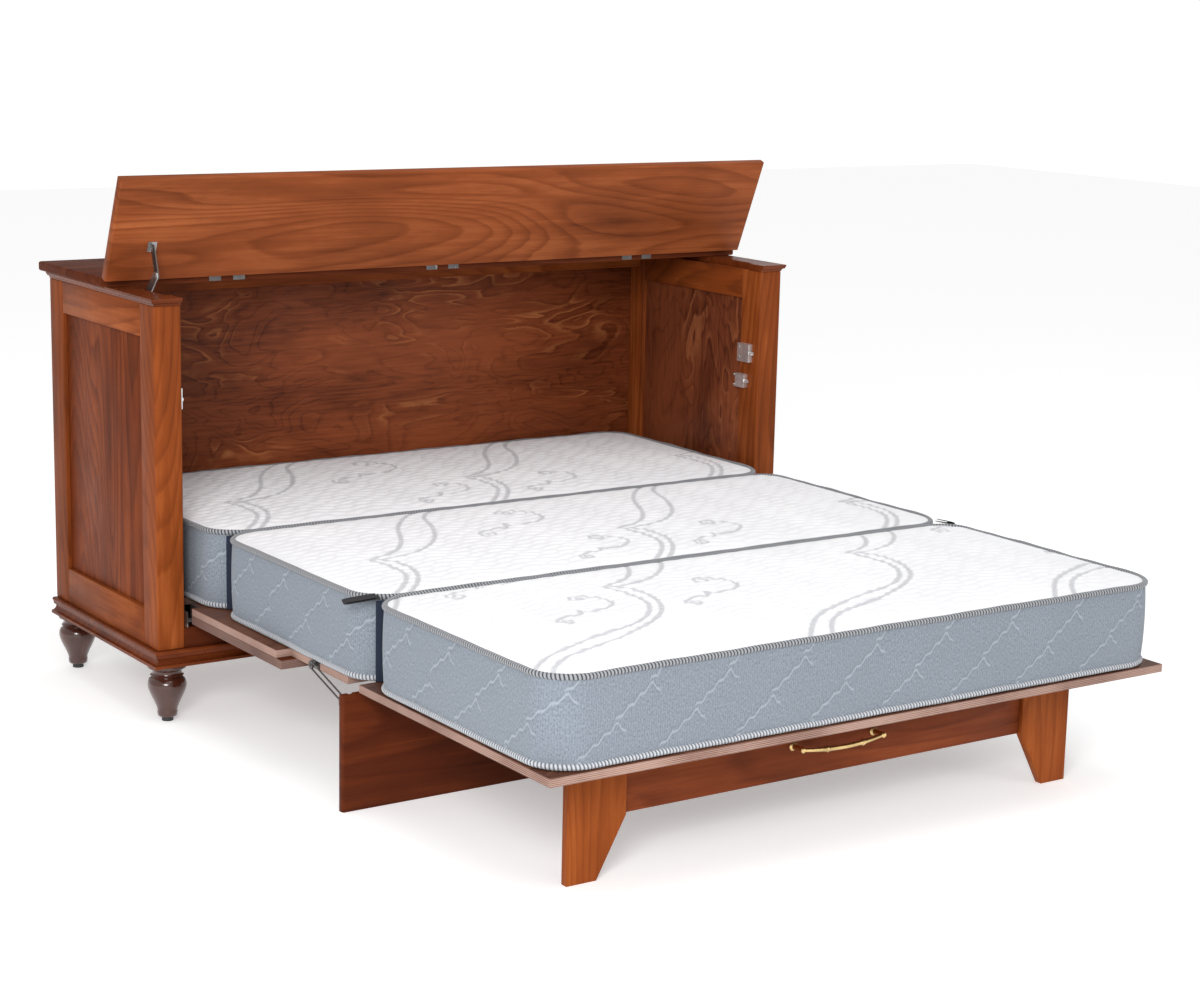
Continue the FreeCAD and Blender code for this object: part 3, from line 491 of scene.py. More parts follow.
def rope_cloth(name, dark, light):
    """Twisted cord piping: slanting strands on the surface map."""
    material, n, shader = finish(name)
    cloth = n.add("ShaderNodeUVMap", uv_map="cloth").outputs[0]
    split = n.add("ShaderNodeSeparateXYZ")
    n.link(cloth, split.inputs[0])
    turn = n.plus(n.times(split.outputs[0], STRANDS_PER_METRE), split.outputs[1])
    strand = n.math("ABSOLUTE", n.minus(n.math("FRACT", turn), 0.5))
    hair = n.noise(n.stretch(cloth, (900, 60, 1)), 1.0, 2.0)
    tone = n.plus(n.span(strand, 0.05, 0.4), n.times(n.minus(hair, 0.5), 0.5))
    n.fill(shader, Base_Color=n.ramp(tone, [(0.1, dark), (0.75, light)]), Roughness=0.75, Sheen_Weight=0.2)
    bump(n, shader, n.minus(1.0, n.span(strand, 0.0, 0.5)), 0.7, 0.0015)
    return material


def webbing(name, colour):
    """Ribbed narrow cloth."""
    material, n, shader = finish(name)
    at = object_vector(n)
    rib = n.add("ShaderNodeTexWave", wave_type="BANDS", bands_direction="DIAGONAL")
    paler = tuple(c * 2.2 for c in colour)
    n.fill(rib, Vector=at, Scale=260.0)
    n.fill(shader, Base_Color=n.mix(rib.outputs["Fac"], (*colour, 1), (*paler, 1)), Roughness=0.7)
    bump(n, shader, rib.outputs["Fac"], 0.4, 0.0006)
    return material


CHERRY_DARK, CHERRY_MID, CHERRY_LIGHT = (0.058, 0.013, 0.004), (0.185, 0.042, 0.009), (0.35, 0.098, 0.024)
WALNUT_DARK, WALNUT_MID, WALNUT_LIGHT = (0.030, 0.008, 0.004), (0.085, 0.020, 0.008), (0.15, 0.040, 0.015)

case_wood = stained_wood("case cherry upright", "Z", CHERRY_DARK, CHERRY_MID, CHERRY_LIGHT, shift=0.3)
rail_wood = stained_wood("case cherry level", "X", CHERRY_DARK, CHERRY_MID, CHERRY_LIGHT, shift=1.1)
side_rail_wood = stained_wood("case cherry deep", "Y", CHERRY_DARK, CHERRY_MID, CHERRY_LIGHT, shift=2.3)
panel_wood = stained_wood("side panel cherry", "Z", (0.045, 0.010, 0.003), (0.13, 0.026, 0.006),
                          (0.26, 0.060, 0.013), rings=34.0, depth=0.5, shift=4.2)
lid_wood = stained_wood("lid cherry", "X", (0.078, 0.020, 0.007), (0.205, 0.053, 0.017), (0.36, 0.108, 0.036),
                        rings=36.0, depth=0.5, rough=0.4, shift=0.9)
top_wood = stained_wood("top cherry", "X", WALNUT_DARK, WALNUT_MID, WALNUT_LIGHT, rough=0.45, gloss=0.02,
                        shift=3.1)
kick_wood = stained_wood("front cherry", "X", (0.022, 0.005, 0.003), (0.070, 0.015, 0.005),
                         (0.155, 0.036, 0.010), rings=26.0, depth=0.5, shift=5.2)
leg_wood = stained_wood("leg cherry", "Z", (0.11, 0.024, 0.005), (0.235, 0.055, 0.010),
                        (0.36, 0.100, 0.022), shift=6.3)
apron_wood = stained_wood("apron cherry", "X", (0.07, 0.016, 0.006), (0.17, 0.038, 0.012),
                          (0.27, 0.066, 0.02), shift=7.7)
foot_wood = stained_wood("turned foot", "Z", (0.018, 0.006, 0.004), (0.045, 0.012, 0.007),
                         (0.085, 0.024, 0.012), depth=0.3, rough=0.14, coat=0.7, gloss=0.5, shift=8.8)
moulding_wood = stained_wood("moulding cherry", "X", (0.045, 0.010, 0.004), (0.12, 0.026, 0.007),
                             (0.22, 0.055, 0.015), depth=0.3, rough=0.28, coat=0.06, gloss=0.1, shift=9.9)
back_veneer = stained_veneer("back veneer", "X", (0.070, 0.015, 0.005), (0.235, 0.056, 0.018),
                             (0.52, 0.20, 0.070))
inner_veneer = stained_veneer("inside panel veneer", "Z", (0.070, 0.017, 0.008), (0.23, 0.060, 0.022),
                              (0.40, 0.14, 0.055), 9.0)
deck_veneer = stained_veneer("deck veneer", "X", (0.05, 0.016, 0.009), (0.15, 0.06, 0.035),
                             (0.24, 0.12, 0.07))
deck_edge = ply_edge("ply edge", (0.42, 0.27, 0.215), (0.15, 0.07, 0.05))
dark_edge = ply_edge("ply edge stained", (0.20, 0.11, 0.085), (0.06, 0.026, 0.019))
brass = plated_metal("satin brass", (0.78, 0.56, 0.25), 0.26)
nickel = plated_metal("nickel plate", (0.96, 0.96, 0.96), 0.45)
zinc = plated_metal("zinc plate", (0.6, 0.6, 0.6), 0.36)
dark_steel = plated_metal("blackened steel", (0.17, 0.16, 0.155), 0.42, worn=(0.4, 0.38, 0.36))
plastic = matt_plastic("black plastic", (0.02, 0.02, 0.022))
ticking = quilt_top("quilted ticking")
border = border_cloth("woven border")
rope_dark = rope_cloth("piping dark", (0.012, 0.014, 0.018), (0.30, 0.31, 0.33))
rope_pale = rope_cloth("piping pale", (0.09, 0.10, 0.12), (0.50, 0.52, 0.55))
navy = webbing("joint cloth", (0.012, 0.017, 0.032))
black_web = webbing("strap web", (0.012, 0.012, 0.014))


# ================================================================ joinery: CAD boards with eased edges

def eased(node, materials, width=0.0016, segments=2, pick=None):
    """A copy of a board with its edges eased; pick(normal) gives the slot of each face."""
    source = NODES[node]
    body = next(b for b, members in frame["record"]["behaviour"]["bodies"].items() if node in members)
    bm = bmesh.new()
    bm.from_mesh(source.data)
    bmesh.ops.remove_doubles(bm, verts=bm.verts, dist=2e-6)
    bmesh.ops.dissolve_limit(bm, angle_limit=math.radians(1.5), verts=bm.verts, edges=bm.edges)
    for face in bm.faces:
        face.material_index = pick(face.normal) if pick else 0
    sharp = [e for e in bm.edges if len(e.link_faces) == 2 and e.calc_face_angle(0) > math.radians(40)]
    bmesh.ops.bevel(bm, geom=sharp, offset=width, segments=segments, affect="EDGES", profile=0.5,
                    material=-1, clamp_overlap=True)
    piece = new_object(f"{node}_board", bm, materials, body)
    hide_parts(node)
    return piece


def by_edge(normal):
    """Slot 0 for the faces of a board, slot 1 for its cut edges."""
    return 0 if abs(normal.z) > 0.6 else 1


def joinery():
    """Every board of the cabinet, deck, foot panel and lid, in its own timber."""
    for side in ("left", "right"):
        eased(f"{side}_front_post", [case_wood], 0.003, 3)
        eased(f"{side}_back_post", [case_wood], 0.003, 3)
        eased(f"{side}_side_rails", [side_rail_wood], 0.002)
        eased(f"{side}_outer_panel", [panel_wood], 0.001)
        eased(f"{side}_leg", [leg_wood], 0.002)
    eased("inner_side_panels", [inner_veneer], 0.001)
    eased("back_panel", [back_veneer], 0.001)
    eased("back_top_rail", [rail_wood])
    eased("front_rail", [kick_wood])
    eased("bottom_board", [deck_veneer, dark_edge], 0.001, 2, by_edge)
    eased("inner_deck", [deck_veneer, dark_edge], 0.001, 2, by_edge)
    eased("deck_cleats", [dark_edge], 0.001)
    eased("deck_board", [deck_veneer, deck_edge], 0.001, 2, by_edge)
    eased("deck_front_board", [kick_wood, dark_edge], 0.001, 2, by_edge)
    eased("foot_panel", [deck_veneer, deck_edge], 0.001, 2, by_edge)
    eased("kick_panel", [kick_wood], 0.001)
    eased("apron", [apron_wood], 0.002)
    eased("lid", [lid_wood], 0.001)
    eased("rear_top", [top_wood], 0.001)


joinery()


# ================================================================ mouldings

TUCK = 0.05      # how far a moulding reaches in behind its face
SKIM = 0.0005    # clear of the boards above and below


def moulding(name, node, profile, corners):
    """Run a closed profile of (out, z) points round corners, each a place and its outward mitre."""
    def at(corner, outward):
        return lambda out, z: (corner[0] + out * outward[0], corner[1] + out * outward[1], z)

    bm = bmesh.new()
    sweep(bm, profile, [at(corner, outward) for corner, outward in corners])
    bmesh.ops.recalc_face_normals(bm, faces=bm.faces)
    piece = new_object(name, bm, [moulding_wood], "cabinet", 28)
    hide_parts(node)


def arc(centre, radius, start, end, steps):
    """Points on an arc in the (out, z) plane, angles in degrees."""
    points = []
    for k in range(steps + 1):
        angle = math.radians(start + (end - start) * k / steps)
        points.append((centre[0] + radius * math.cos(angle), centre[1] + radius * math.sin(angle)))
    return points


def mouldings():
    """The base run goes round the front and both sides; the top run stops at the mouth on each side."""
    post = low_high("left_front_post")[0]
    back = low_high("back_panel")[1].y
    side, front = -post.x, post.y
    low, high = low_high("base_moulding")
    reach, z0, z1 = -low.x - side, low.z, high.z
    bead, hollow, roll = 0.001, 0.011, 0.0045
    profile = [(-TUCK, z0), (reach, z0), (reach, z0 + 0.006)]
    profile += arc((reach - bead, z0 + 0.006), bead, 0, 90, 3)
    profile += arc((reach - bead, z0 + 0.007 + hollow), hollow, -90, -180, 8)[1:]
    profile += [(reach - 0.006, z0 + 0.022)] + arc((reach - 0.007, z1 - roll), roll, -60, 90, 8)
    profile += [(0.0, z1), (-TUCK, z1)]
    run = [((-side, back), (-1, 0)), ((-side, front), (-1, -1)), ((side, front), (1, -1)),
           ((side, back), (1, 0))]
    moulding("base_moulding_run", "base_moulding", profile, run)
    low, high = low_high("top_moulding")
    reach, z0, z1 = -low.x - side, low.z, high.z
    for name, sign in (("left", -1), ("right", 1)):
        inner = low_high("left_front_post")[1].x * -sign
        profile = [(-TUCK, z0 + SKIM), (0.0, z0 + SKIM)] + arc((reach - 0.002, z0), reach - 0.002, 180, 95, 8)
        profile += [(reach - 0.001, z1 - 0.006), (reach, z1 - 0.005), (reach, z1 - SKIM), (-TUCK, z1 - SKIM)]
        run = [((sign * side, back), (sign, 0)), ((sign * side, front), (sign, -1)),
               ((inner, front), (0, -1))]
        moulding(f"top_moulding_run_{name}", "top_moulding", profile, run)


mouldings()


# ================================================================ turned feet

def turned_foot(node):
    """Spin the foot's outline: collar, fillets, neck ring, vase and toe."""
    low, high = low_high(node)
    centre, top, base = (low + high) / 2, high.z, low.z
    r = (high.x - low.x) / 2
    toe = [(0.0, 0.0), (0.42, 0.0), (0.50, 0.003), (0.52, 0.012), (0.50, 0.016)]
    vase = [(0.56, 0.024), (0.68, 0.036), (0.80, 0.047), (0.90, 0.057), (0.965, 0.066), (0.99, 0.074),
            (0.97, 0.082), (0.90, 0.088), (0.80, 0.0915)]
    neck = [(0.76, 0.030), (0.80, 0.0285), (0.85, 0.026), (0.80, 0.0235), (0.76, 0.022), (0.75, 0.018)]
    collar = [(0.80, 0.013), (0.90, 0.0095), (0.985, 0.0085), (1.0, 0.006), (0.985, 0.0005), (0.0, 0.0005)]
    outline = [(r * out, base + rise) for out, rise in toe + vase]
    outline += [(r * out, top - drop) for out, drop in neck + collar]
    bm = bmesh.new()
    verts = [bm.verts.new((out, 0, z)) for out, z in outline]
    edges = [bm.edges.new(pair) for pair in zip(verts, verts[1:])]
    bmesh.ops.spin(bm, geom=verts + edges, cent=(0, 0, 0), axis=(0, 0, 1), angle=2 * math.pi, steps=56,
                   use_merge=True, use_duplicate=False)
    bmesh.ops.remove_doubles(bm, verts=bm.verts, dist=1e-5)
    bmesh.ops.recalc_face_normals(bm, faces=bm.faces)
    bmesh.ops.translate(bm, verts=bm.verts, vec=(centre.x, centre.y, 0))
    piece = new_object(f"{node}_turned", bm, [foot_wood], "cabinet", 60)
    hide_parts(node)


for name in ("front_left_foot", "front_right_foot", "back_left_foot", "back_right_foot"):
    turned_foot(name)


# ================================================================ mattress

SECTION_CORNER = 0.085   # radius of a section's upright corners
CROWN = 0.006            # rise of the top's middle
PUFF = 0.004             # height of the quilted pillows
BULGE = 0.004            # swell of the border
PIPING = 0.0062          # radius of the cord
SEAM_BACK = 0.46         # where the border's own seam lies, back from the front left corner
SEAM_INSET = 0.0045      # the cloth's face lies this far inside the section's outline
SEAM_RISE = 0.0075       # height of the border's seams from the top and the bottom
CLOTH_THICKNESS = 0.0016


def soft_corner(x, y, hx, hy, radius):
    """Move a point of a rectangle into the same rectangle with rounded corners."""
    t = max(abs(x) / hx, abs(y) / hy)
    if t < 1e-6:
        return x, y
    qx, qy = x / t, y / t
    dx, dy = abs(qx) - (hx - radius), abs(qy) - (hy - radius)
    if dx <= 0 or dy <= 0:
        return x, y
    reach = math.hypot(dx, dy)
    pull = radius / reach - 1
    weight = t ** 7
    return x + math.copysign(1, qx) * dx * pull * weight, y + math.copysign(1, qy) * dy * pull * weight


def outline_at(s, hx, hy, radius):
    """Point and outward direction at distance s round a rounded rectangle, from the seam on its left face."""
    s -= SEAM_BACK
    straight_x, straight_y, bend = 2 * (hx - radius), 2 * (hy - radius), math.pi * radius / 2
    legs = [(straight_x, (-hx + radius, -hy), 0.0), (straight_y, (hx, -hy + radius), 90.0),
            (straight_x, (hx - radius, hy), 180.0), (straight_y, (-hx, hy - radius), 270.0)]
    total = 2 * straight_x + 2 * straight_y + 4 * bend
    s %= total
    for length, start, heading in legs:
        h = math.radians(heading)
        ahead, out = (math.cos(h), math.sin(h)), (math.sin(h), -math.cos(h))
        if s <= length:
            return (start[0] + ahead[0] * s, start[1] + ahead[1] * s), out
        s -= length
        if s <= bend:
            end = (start[0] + ahead[0] * length, start[1] + ahead[1] * length)
            centre = (end[0] - out[0] * radius, end[1] - out[1] * radius)
            turn = s / radius
            direction = (out[0] * math.cos(turn) + ahead[0] * math.sin(turn),
                         out[1] * math.cos(turn) + ahead[1] * math.sin(turn))
            return (centre[0] + direction[0] * radius, centre[1] + direction[1] * radius), direction
        s -= bend
    return legs[0][1], (0, -1)


def outline_length(hx, hy, radius):
    """Distance once round a rounded rectangle."""
    return 4 * (hx - radius) + 4 * (hy - radius) + 2 * math.pi * radius


# One repeat of the woven figure, in metres from its cusp: the two edges of the ribbon, and a scroll.
RIBBON_HALF, SCROLL_HALF, CURL_HALF = 0.0068, 0.0058, 0.0054     # half widths of the lines
COIL_STEPS = 29
RIBBON_LEFT = [(0.0, 0.0), (0.045, 0.016), (0.098, 0.052), (0.148, 0.122), (0.205, 0.236), (0.272, 0.325),
               (0.36, 0.408), (0.50, 0.476), (0.66, 0.536), (0.748, 0.632), (0.762, 0.73), (0.750, 0.796)]
RIBBON_RIGHT = [(0.016, -0.010), (0.07, -0.004), (0.142, 0.024), (0.215, 0.096), (0.272, 0.20),
                (0.315, 0.312), (0.40, 0.396), (0.58, 0.466), (0.72, 0.556), (0.784, 0.656), (0.792, 0.745),
                (0.772, 0.782)]
REPEAT_ACROSS = (0.634, 0.0)
REPEAT_ALONG = (0.750, 0.796)
VINE = [(0.066, 0.046), (0.092, 0.012), (0.086, -0.040), (0.040, -0.074), (-0.016, -0.082), (-0.030, -0.062),
        (-0.044, -0.094), (-0.080, -0.094), (-0.122, -0.112)]
VINE_PLACES = [(-0.175, 0.215, 1.0), (0.180, -0.085, 0.82), (-0.125, -0.090, 0.78)]
CUSPS = {"head": (0.020, 0.584), "middle": (0.024, -0.080), "foot": (-0.320, -0.520)}


def flowing(points, steps=9):
    """A smooth line through the points."""
    ends = [points[0], *points, points[-1]]
    line = []
    for p0, p1, p2, p3 in zip(ends, ends[1:], ends[2:], ends[3:]):
        for k in range(steps):
            t = k / steps
            line.append(tuple(
                0.5 * (2 * b + (c - a) * t + (2 * a - 5 * b + 4 * c - d) * t * t
                       + (3 * b - a - 3 * c + d) * t ** 3)
                for a, b, c, d in zip(p0, p1, p2, p3)))
    return line + [points[-1]]


def curl(centre, size, start, turns=1.3):
    """A coil that winds in from its outer end."""
    points = []
    for k in range(COIL_STEPS + 1):
        angle = start + 2 * math.pi * turns * k / COIL_STEPS
        reach = size * (1 - 0.8 * k / COIL_STEPS)
        points.append((centre[0] + reach * math.cos(angle), centre[1] + reach * math.sin(angle)))
    return points


def figure_lines(section):
    """The ribbons and vines of one section, as lines with their half widths."""
    cusp = CUSPS[section]
    lines = []
    for across in range(-3, 4):
        for along in (-2, -1, 0, 1):
            x = cusp[0] + across * REPEAT_ACROSS[0] + along * REPEAT_ALONG[0]
            y = cusp[1] + along * REPEAT_ALONG[1]
            for edge in (RIBBON_LEFT, RIBBON_RIGHT):
                lines.append((flowing([(x + px, y + py) for px, py in edge]), RIBBON_HALF))
            if (across + along) % 2:
                continue
            for vx, vy, size in VINE_PLACES:
                def place(p):
                    return x + vx + p[0] * size, y + vy + p[1] * size

                lines.append((flowing([place(p) for p in VINE]), SCROLL_HALF))
                lines.append((curl(place((0.036, 0.040)), 0.030 * size, 0.2), SCROLL_HALF))
                lines.append((curl(place((-0.112, -0.132)), 0.024 * size, 2.0), CURL_HALF))
    return lines


def ink_map(lines, cell=0.02):
    """Bucket the figure's short segments so that each point looks only at those near it."""
    buckets = {}
    for points, width in lines:
        for a, b in zip(points, points[1:]):
            x0, x1 = sorted((a[0], b[0]))
            y0, y1 = sorted((a[1], b[1]))
            for gx in range(int((x0 - width) // cell), int((x1 + width) // cell) + 1):
                for gy in range(int((y0 - width) // cell), int((y1 + width) // cell) + 1):
                    buckets.setdefault((gx, gy), []).append((a, b, width))
    return buckets


def ink_at(x, y, buckets, cell=0.02):
    """How much of the woven figure is at a point, from 0 to 1."""
    best = 0.0
    for a, b, width in buckets.get((int(x // cell), int(y // cell)), ()):
        dx, dy = b[0] - a[0], b[1] - a[1]
        t = max(0.0, min(1.0, ((x - a[0]) * dx + (y - a[1]) * dy) / (dx * dx + dy * dy + 1e-12)))
        away = math.hypot(x - a[0] - dx * t, y - a[1] - dy * t)
        best = max(best, min(1.0, max(0.0, (width - away) / 0.003)))
    return best


def puff(x, y):
    """Height of the small quilted pillows, 0 on their stitches."""
    row = y / 0.026 + 0.35 * math.sin(x * 42.0)
    column = x / 0.052 + 0.5 * (math.floor(row) % 2) + 0.12 * math.sin(y * 60.0)
    across = abs(math.sin(math.pi * (row % 1.0)))
    along = abs(math.sin(math.pi * (column % 1.0)))
    return across ** 0.6 * along ** 0.35


def mattress_section(name, node, body, hinge_line=None):
    """One section: quilted crowned top, woven border with mountain quilting, plain bottom, piping."""
    low, high = low_high(node)
    centre = (low + high) / 2
    hx, hy = (high.x - low.x) / 2, (high.y - low.y) / 2
    top, bottom = high.z, low.z
    inset = SEAM_INSET
    bm = bmesh.new()
    figure = bm.verts.layers.float.new("figure")
    cloth = bm.loops.layers.uv.new("cloth")
    across, along = ((372, 164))
    grid = bmesh.ops.create_grid(bm, x_segments=across, y_segments=along, size=1.0)["verts"]
    buckets = ink_map(figure_lines(name))
    for v in grid:
        x, y = v.co.x * (hx - inset), v.co.y * (hy - inset)
        x, y = soft_corner(x, y, hx - inset, hy - inset, SECTION_CORNER - inset)
        rim = min(hx - abs(x), hy - abs(y))
        corner = math.hypot(max(0, abs(x) - hx + SECTION_CORNER), max(0, abs(y) - hy + SECTION_CORNER))
        rim = min(rim, SECTION_CORNER - corner) if corner > 0 else rim
        rise = 1 - math.exp(-max(0.0, rim - inset) / 0.018)
        ink = ink_at(x + centre.x, y + centre.y, buckets)
        v[figure] = ink
        swell = CROWN * (1 - (x / hx) ** 4) * (1 - (y / hy) ** 4)
        swell += PUFF * puff(x + centre.x, y + centre.y) * rise
        z = top - SEAM_RISE + 0.0065 * rise + swell * rise - 0.0012 * ink
        v.co = (x + centre.x, y + centre.y, z)
    build_border(bm, centre, hx, hy, bottom, top, cloth, hinge_line)
    piece = new_object(f"mattress_{name}_section", bm, [ticking, border, navy], body, 60)
    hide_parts(node)
    pipes = []
    for level, z, material in (("top", top - 0.008, rope_dark), ("bottom", bottom + SEAM_RISE, rope_pale)):
        pipes.append(piping(f"mattress_{name}_{level}_piping", centre, hx, hy, z, material, body))
    return [piece] + pipes


def build_border(bm, centre, hx, hy, bottom, top, cloth, hinge_line):
    """Roll a sheet round the outline for the border, then close the bottom."""
    inset = SEAM_INSET
    length = outline_length(hx - inset, hy - inset, SECTION_CORNER - inset)
    around, tall = ((900, 26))
    height = top - bottom - 2 * SEAM_RISE
    faces_before = set(bm.faces)
    sheet = bmesh.ops.create_grid(bm, x_segments=around, y_segments=tall, size=1.0)["verts"]
    places = {}
    for v in sheet:
        s, rise = (v.co.x + 1) / 2 * length, (v.co.y + 1) / 2
        (px, py), out = outline_at(s, hx - inset, hy - inset, SECTION_CORNER - inset)
        swell = BULGE * math.sin(math.pi * rise) ** 0.7 + 0.0008 * math.sin(s * 37) * math.sin(math.pi * rise)
        places[v] = (s, rise * height)
        v.co = (centre.x + px + out[0] * swell, centre.y + py + out[1] * swell,
                bottom + SEAM_RISE + rise * height)
    new = [f for f in bm.faces if f not in faces_before]
    for face in new:
        face.material_index = 1
        for loop in face.loops:
            loop[cloth].uv = places[loop.vert]
    seam = [v for v in sheet if places[v][0] < 1e-6 or places[v][0] > length - 1e-6]
    bmesh.ops.remove_doubles(bm, verts=seam, dist=1e-5)
    floor_before = set(bm.faces)
    floor = bmesh.ops.create_grid(bm, x_segments=40, y_segments=20, size=1.0)["verts"]
    for v in floor:
        x, y = v.co.x * (hx - inset), v.co.y * (hy - inset)
        x, y = soft_corner(x, y, hx - inset, hy - inset, SECTION_CORNER - inset)
        z = bottom + 0.0008
        if hinge_line and abs(y + centre.y - hinge_line) < 0.02:
            z += 0.006
        v.co = (centre.x + x, centre.y + y, z)
    for face in [f for f in bm.faces if f not in floor_before]:
        face.material_index = 2
        face.normal_flip()


def piping(name, centre, hx, hy, z, material, body):
    """Twisted cord sewn round an edge: a rolled sheet with its own surface map."""
    inset = SEAM_INSET
    length = outline_length(hx - inset, hy - inset, SECTION_CORNER - inset)
    around, rings = ((1500, 12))
    bm = bmesh.new()
    cloth = bm.loops.layers.uv.new("cloth")
    sheet = bmesh.ops.create_grid(bm, x_segments=around, y_segments=rings, size=1.0)["verts"]
    places = {}
    for v in sheet:
        s, turn = (v.co.x + 1) / 2 * length, (v.co.y + 1) / 2
        (px, py), out = outline_at(s, hx - inset, hy - inset, SECTION_CORNER - inset)
        angle = 2 * math.pi * turn
        wander = 0.0006 * math.sin(s * 23) + 0.0004 * math.sin(s * 61 + 1)
        side = PIPING * math.cos(angle) + wander
        places[v] = (s, turn)
        v.co = (centre.x + px + out[0] * side, centre.y + py + out[1] * side,
                z + PIPING * math.sin(angle) + wander)
    for face in bm.faces:
        for loop in face.loops:
            loop[cloth].uv = places[loop.vert]
    bmesh.ops.remove_doubles(bm, verts=bm.verts, dist=1e-5)
    bmesh.ops.recalc_face_normals(bm, faces=bm.faces)
    piece = new_object(name, bm, [material], body, 80)
    return piece


def joint_cloth(name, y, body):
    """The dark cloth that joins two sections, standing in the gap between them."""
    low, high = low_high("mattress_middle")
    half = high.x - 0.022
    bm = bmesh.new()
    sheet = bmesh.ops.create_grid(bm, x_segments=120, y_segments=14, size=1.0)["verts"]
    for v in sheet:
        x, rise = v.co.x * half, (v.co.y + 1) / 2
        z = low.z + 0.008 + rise * (high.z - low.z - 0.018)
        v.co = (x, y + 0.0006 * math.sin(x * 31) * math.sin(math.pi * rise), z)
    bmesh.ops.solidify(bm, geom=bm.faces[:], thickness=CLOTH_THICKNESS)
    bmesh.ops.recalc_face_normals(bm, faces=bm.faces)
    piece = new_object(name, bm, [navy], body, 60)
    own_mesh(piece)


def strap(name, start, direction, length, width):
    """A webbing tab that is sewn in at the seam, looped over at its end."""
    bm = bmesh.new()
    sheet = bmesh.ops.create_grid(bm, x_segments=28, y_segments=4, size=1.0)["verts"]
    direction = Vector(direction).normalized()
    side = direction.cross(Vector((0, 0, 1))).normalized()
    for v in sheet:
        t, w = (v.co.x + 1) / 2, v.co.y * width / 2
        bend = min(t / 0.52, 1.0)
        back = max(0.0, (t - 0.52) / 0.48)
        loop = math.pi * min(1.0, max(0.0, (t - 0.42) / 0.2))
        reach = bend * length - back * length * 0.9
        lift = 0.004 * (1 - math.cos(loop)) * 0.5 - 0.010 * bend * (1 - back)
        v.co = Vector(start) + direction * reach + side * w + Vector((0, 0, lift))
    bmesh.ops.solidify(bm, geom=bm.faces[:], thickness=CLOTH_THICKNESS)
    bmesh.ops.recalc_face_normals(bm, faces=bm.faces)
    piece = new_object(name, bm, [black_web], "foot_end", 60)
    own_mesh(piece)


def cut_across(piece, y, front):
    """Keep the part of a piece in front of, or behind, the line across the bed at y, and close the cut."""
    bm = bmesh.new()
    bm.from_mesh(piece.data)
    everything = list(bm.verts) + list(bm.edges) + list(bm.faces)
    bmesh.ops.bisect_plane(bm, geom=everything, dist=1e-6, plane_co=(0, y, 0), plane_no=(0, 1, 0),
                           clear_outer=front, clear_inner=not front)
    rim = [e for e in bm.edges if e.is_boundary and all(abs(v.co.y - y) < 1e-5 for v in e.verts)]
    bmesh.ops.holes_fill(bm, edges=rim, sides=0)
    bm.to_mesh(piece.data)
    bm.free()


def split_at_hinge(piece, y, name, body):
    """The strip of a piece that reaches past a hinge turns with the next panel, as its own piece."""
    strip = piece.copy()
    strip.data = piece.data.copy()
    strip.name = name
    scene.collection.objects.link(strip)
    cut_across(strip, y, True)
    cut_across(piece, y, False)
    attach(strip, body)
    return strip


def mattress():
    """Three sections, the joint cloths between them, and two webbing tabs at the front seam."""
    low, high = low_high("mattress_head")
    hinge = joint_place("foot_fold")[1]
    for piece in mattress_section("head", "mattress_head", "cabinet"):
        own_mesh(piece)
    for piece in mattress_section("middle", "mattress_middle", "deck", hinge):
        strip = split_at_hinge(piece, hinge, piece.name.replace("middle", "middle_front"), "foot_end")
        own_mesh(strip)
        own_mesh(piece)
    for piece in mattress_section("foot", "mattress_foot", "foot_end"):
        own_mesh(piece)
    middle_low, middle_high = low_high("mattress_middle")
    gap = low.y - middle_high.y
    seam, half, top = middle_low.y - gap / 2, middle_high.x, middle_high.z
    joint_cloth("joint_cloth_head", middle_high.y + gap / 2, "deck")
    joint_cloth("joint_cloth_foot", seam, "foot_end")
    strap("seam_strap_left", (-half + 0.03, seam, top - 0.002), (-0.9, 0.35, 0), 0.075, 0.03)
    strap("seam_strap_right", (half - 0.03, seam, top - 0.001), (1, 0.1, 0), 0.045, 0.022)


mattress()


# ================================================================ brass handle

def tube(bm, path, radii, sides=20):
    """Skin a round section along a path of points, closed at both ends."""
    def at(before, point, after, radius):
        ahead = (after - before).normalized()
        side = ahead.cross(Vector((0, 0, 1)))
        side = side.normalized() if side.length > 1e-4 else Vector((1, 0, 0))
        up = side.cross(ahead)
        return lambda u, v: point + (side * u + up * v) * radius

    befores, afters = [path[0], *path[:-1]], [*path[1:], path[-1]]
    turns = [2 * math.pi * k / sides for k in range(sides)]
    sweep(bm, [(math.cos(turn), math.sin(turn)) for turn in turns],
          [at(*station) for station in zip(befores, path, afters, radii)])


BEAD_PLACES = (-0.42, 0.42)     # as shares of the bar's half length


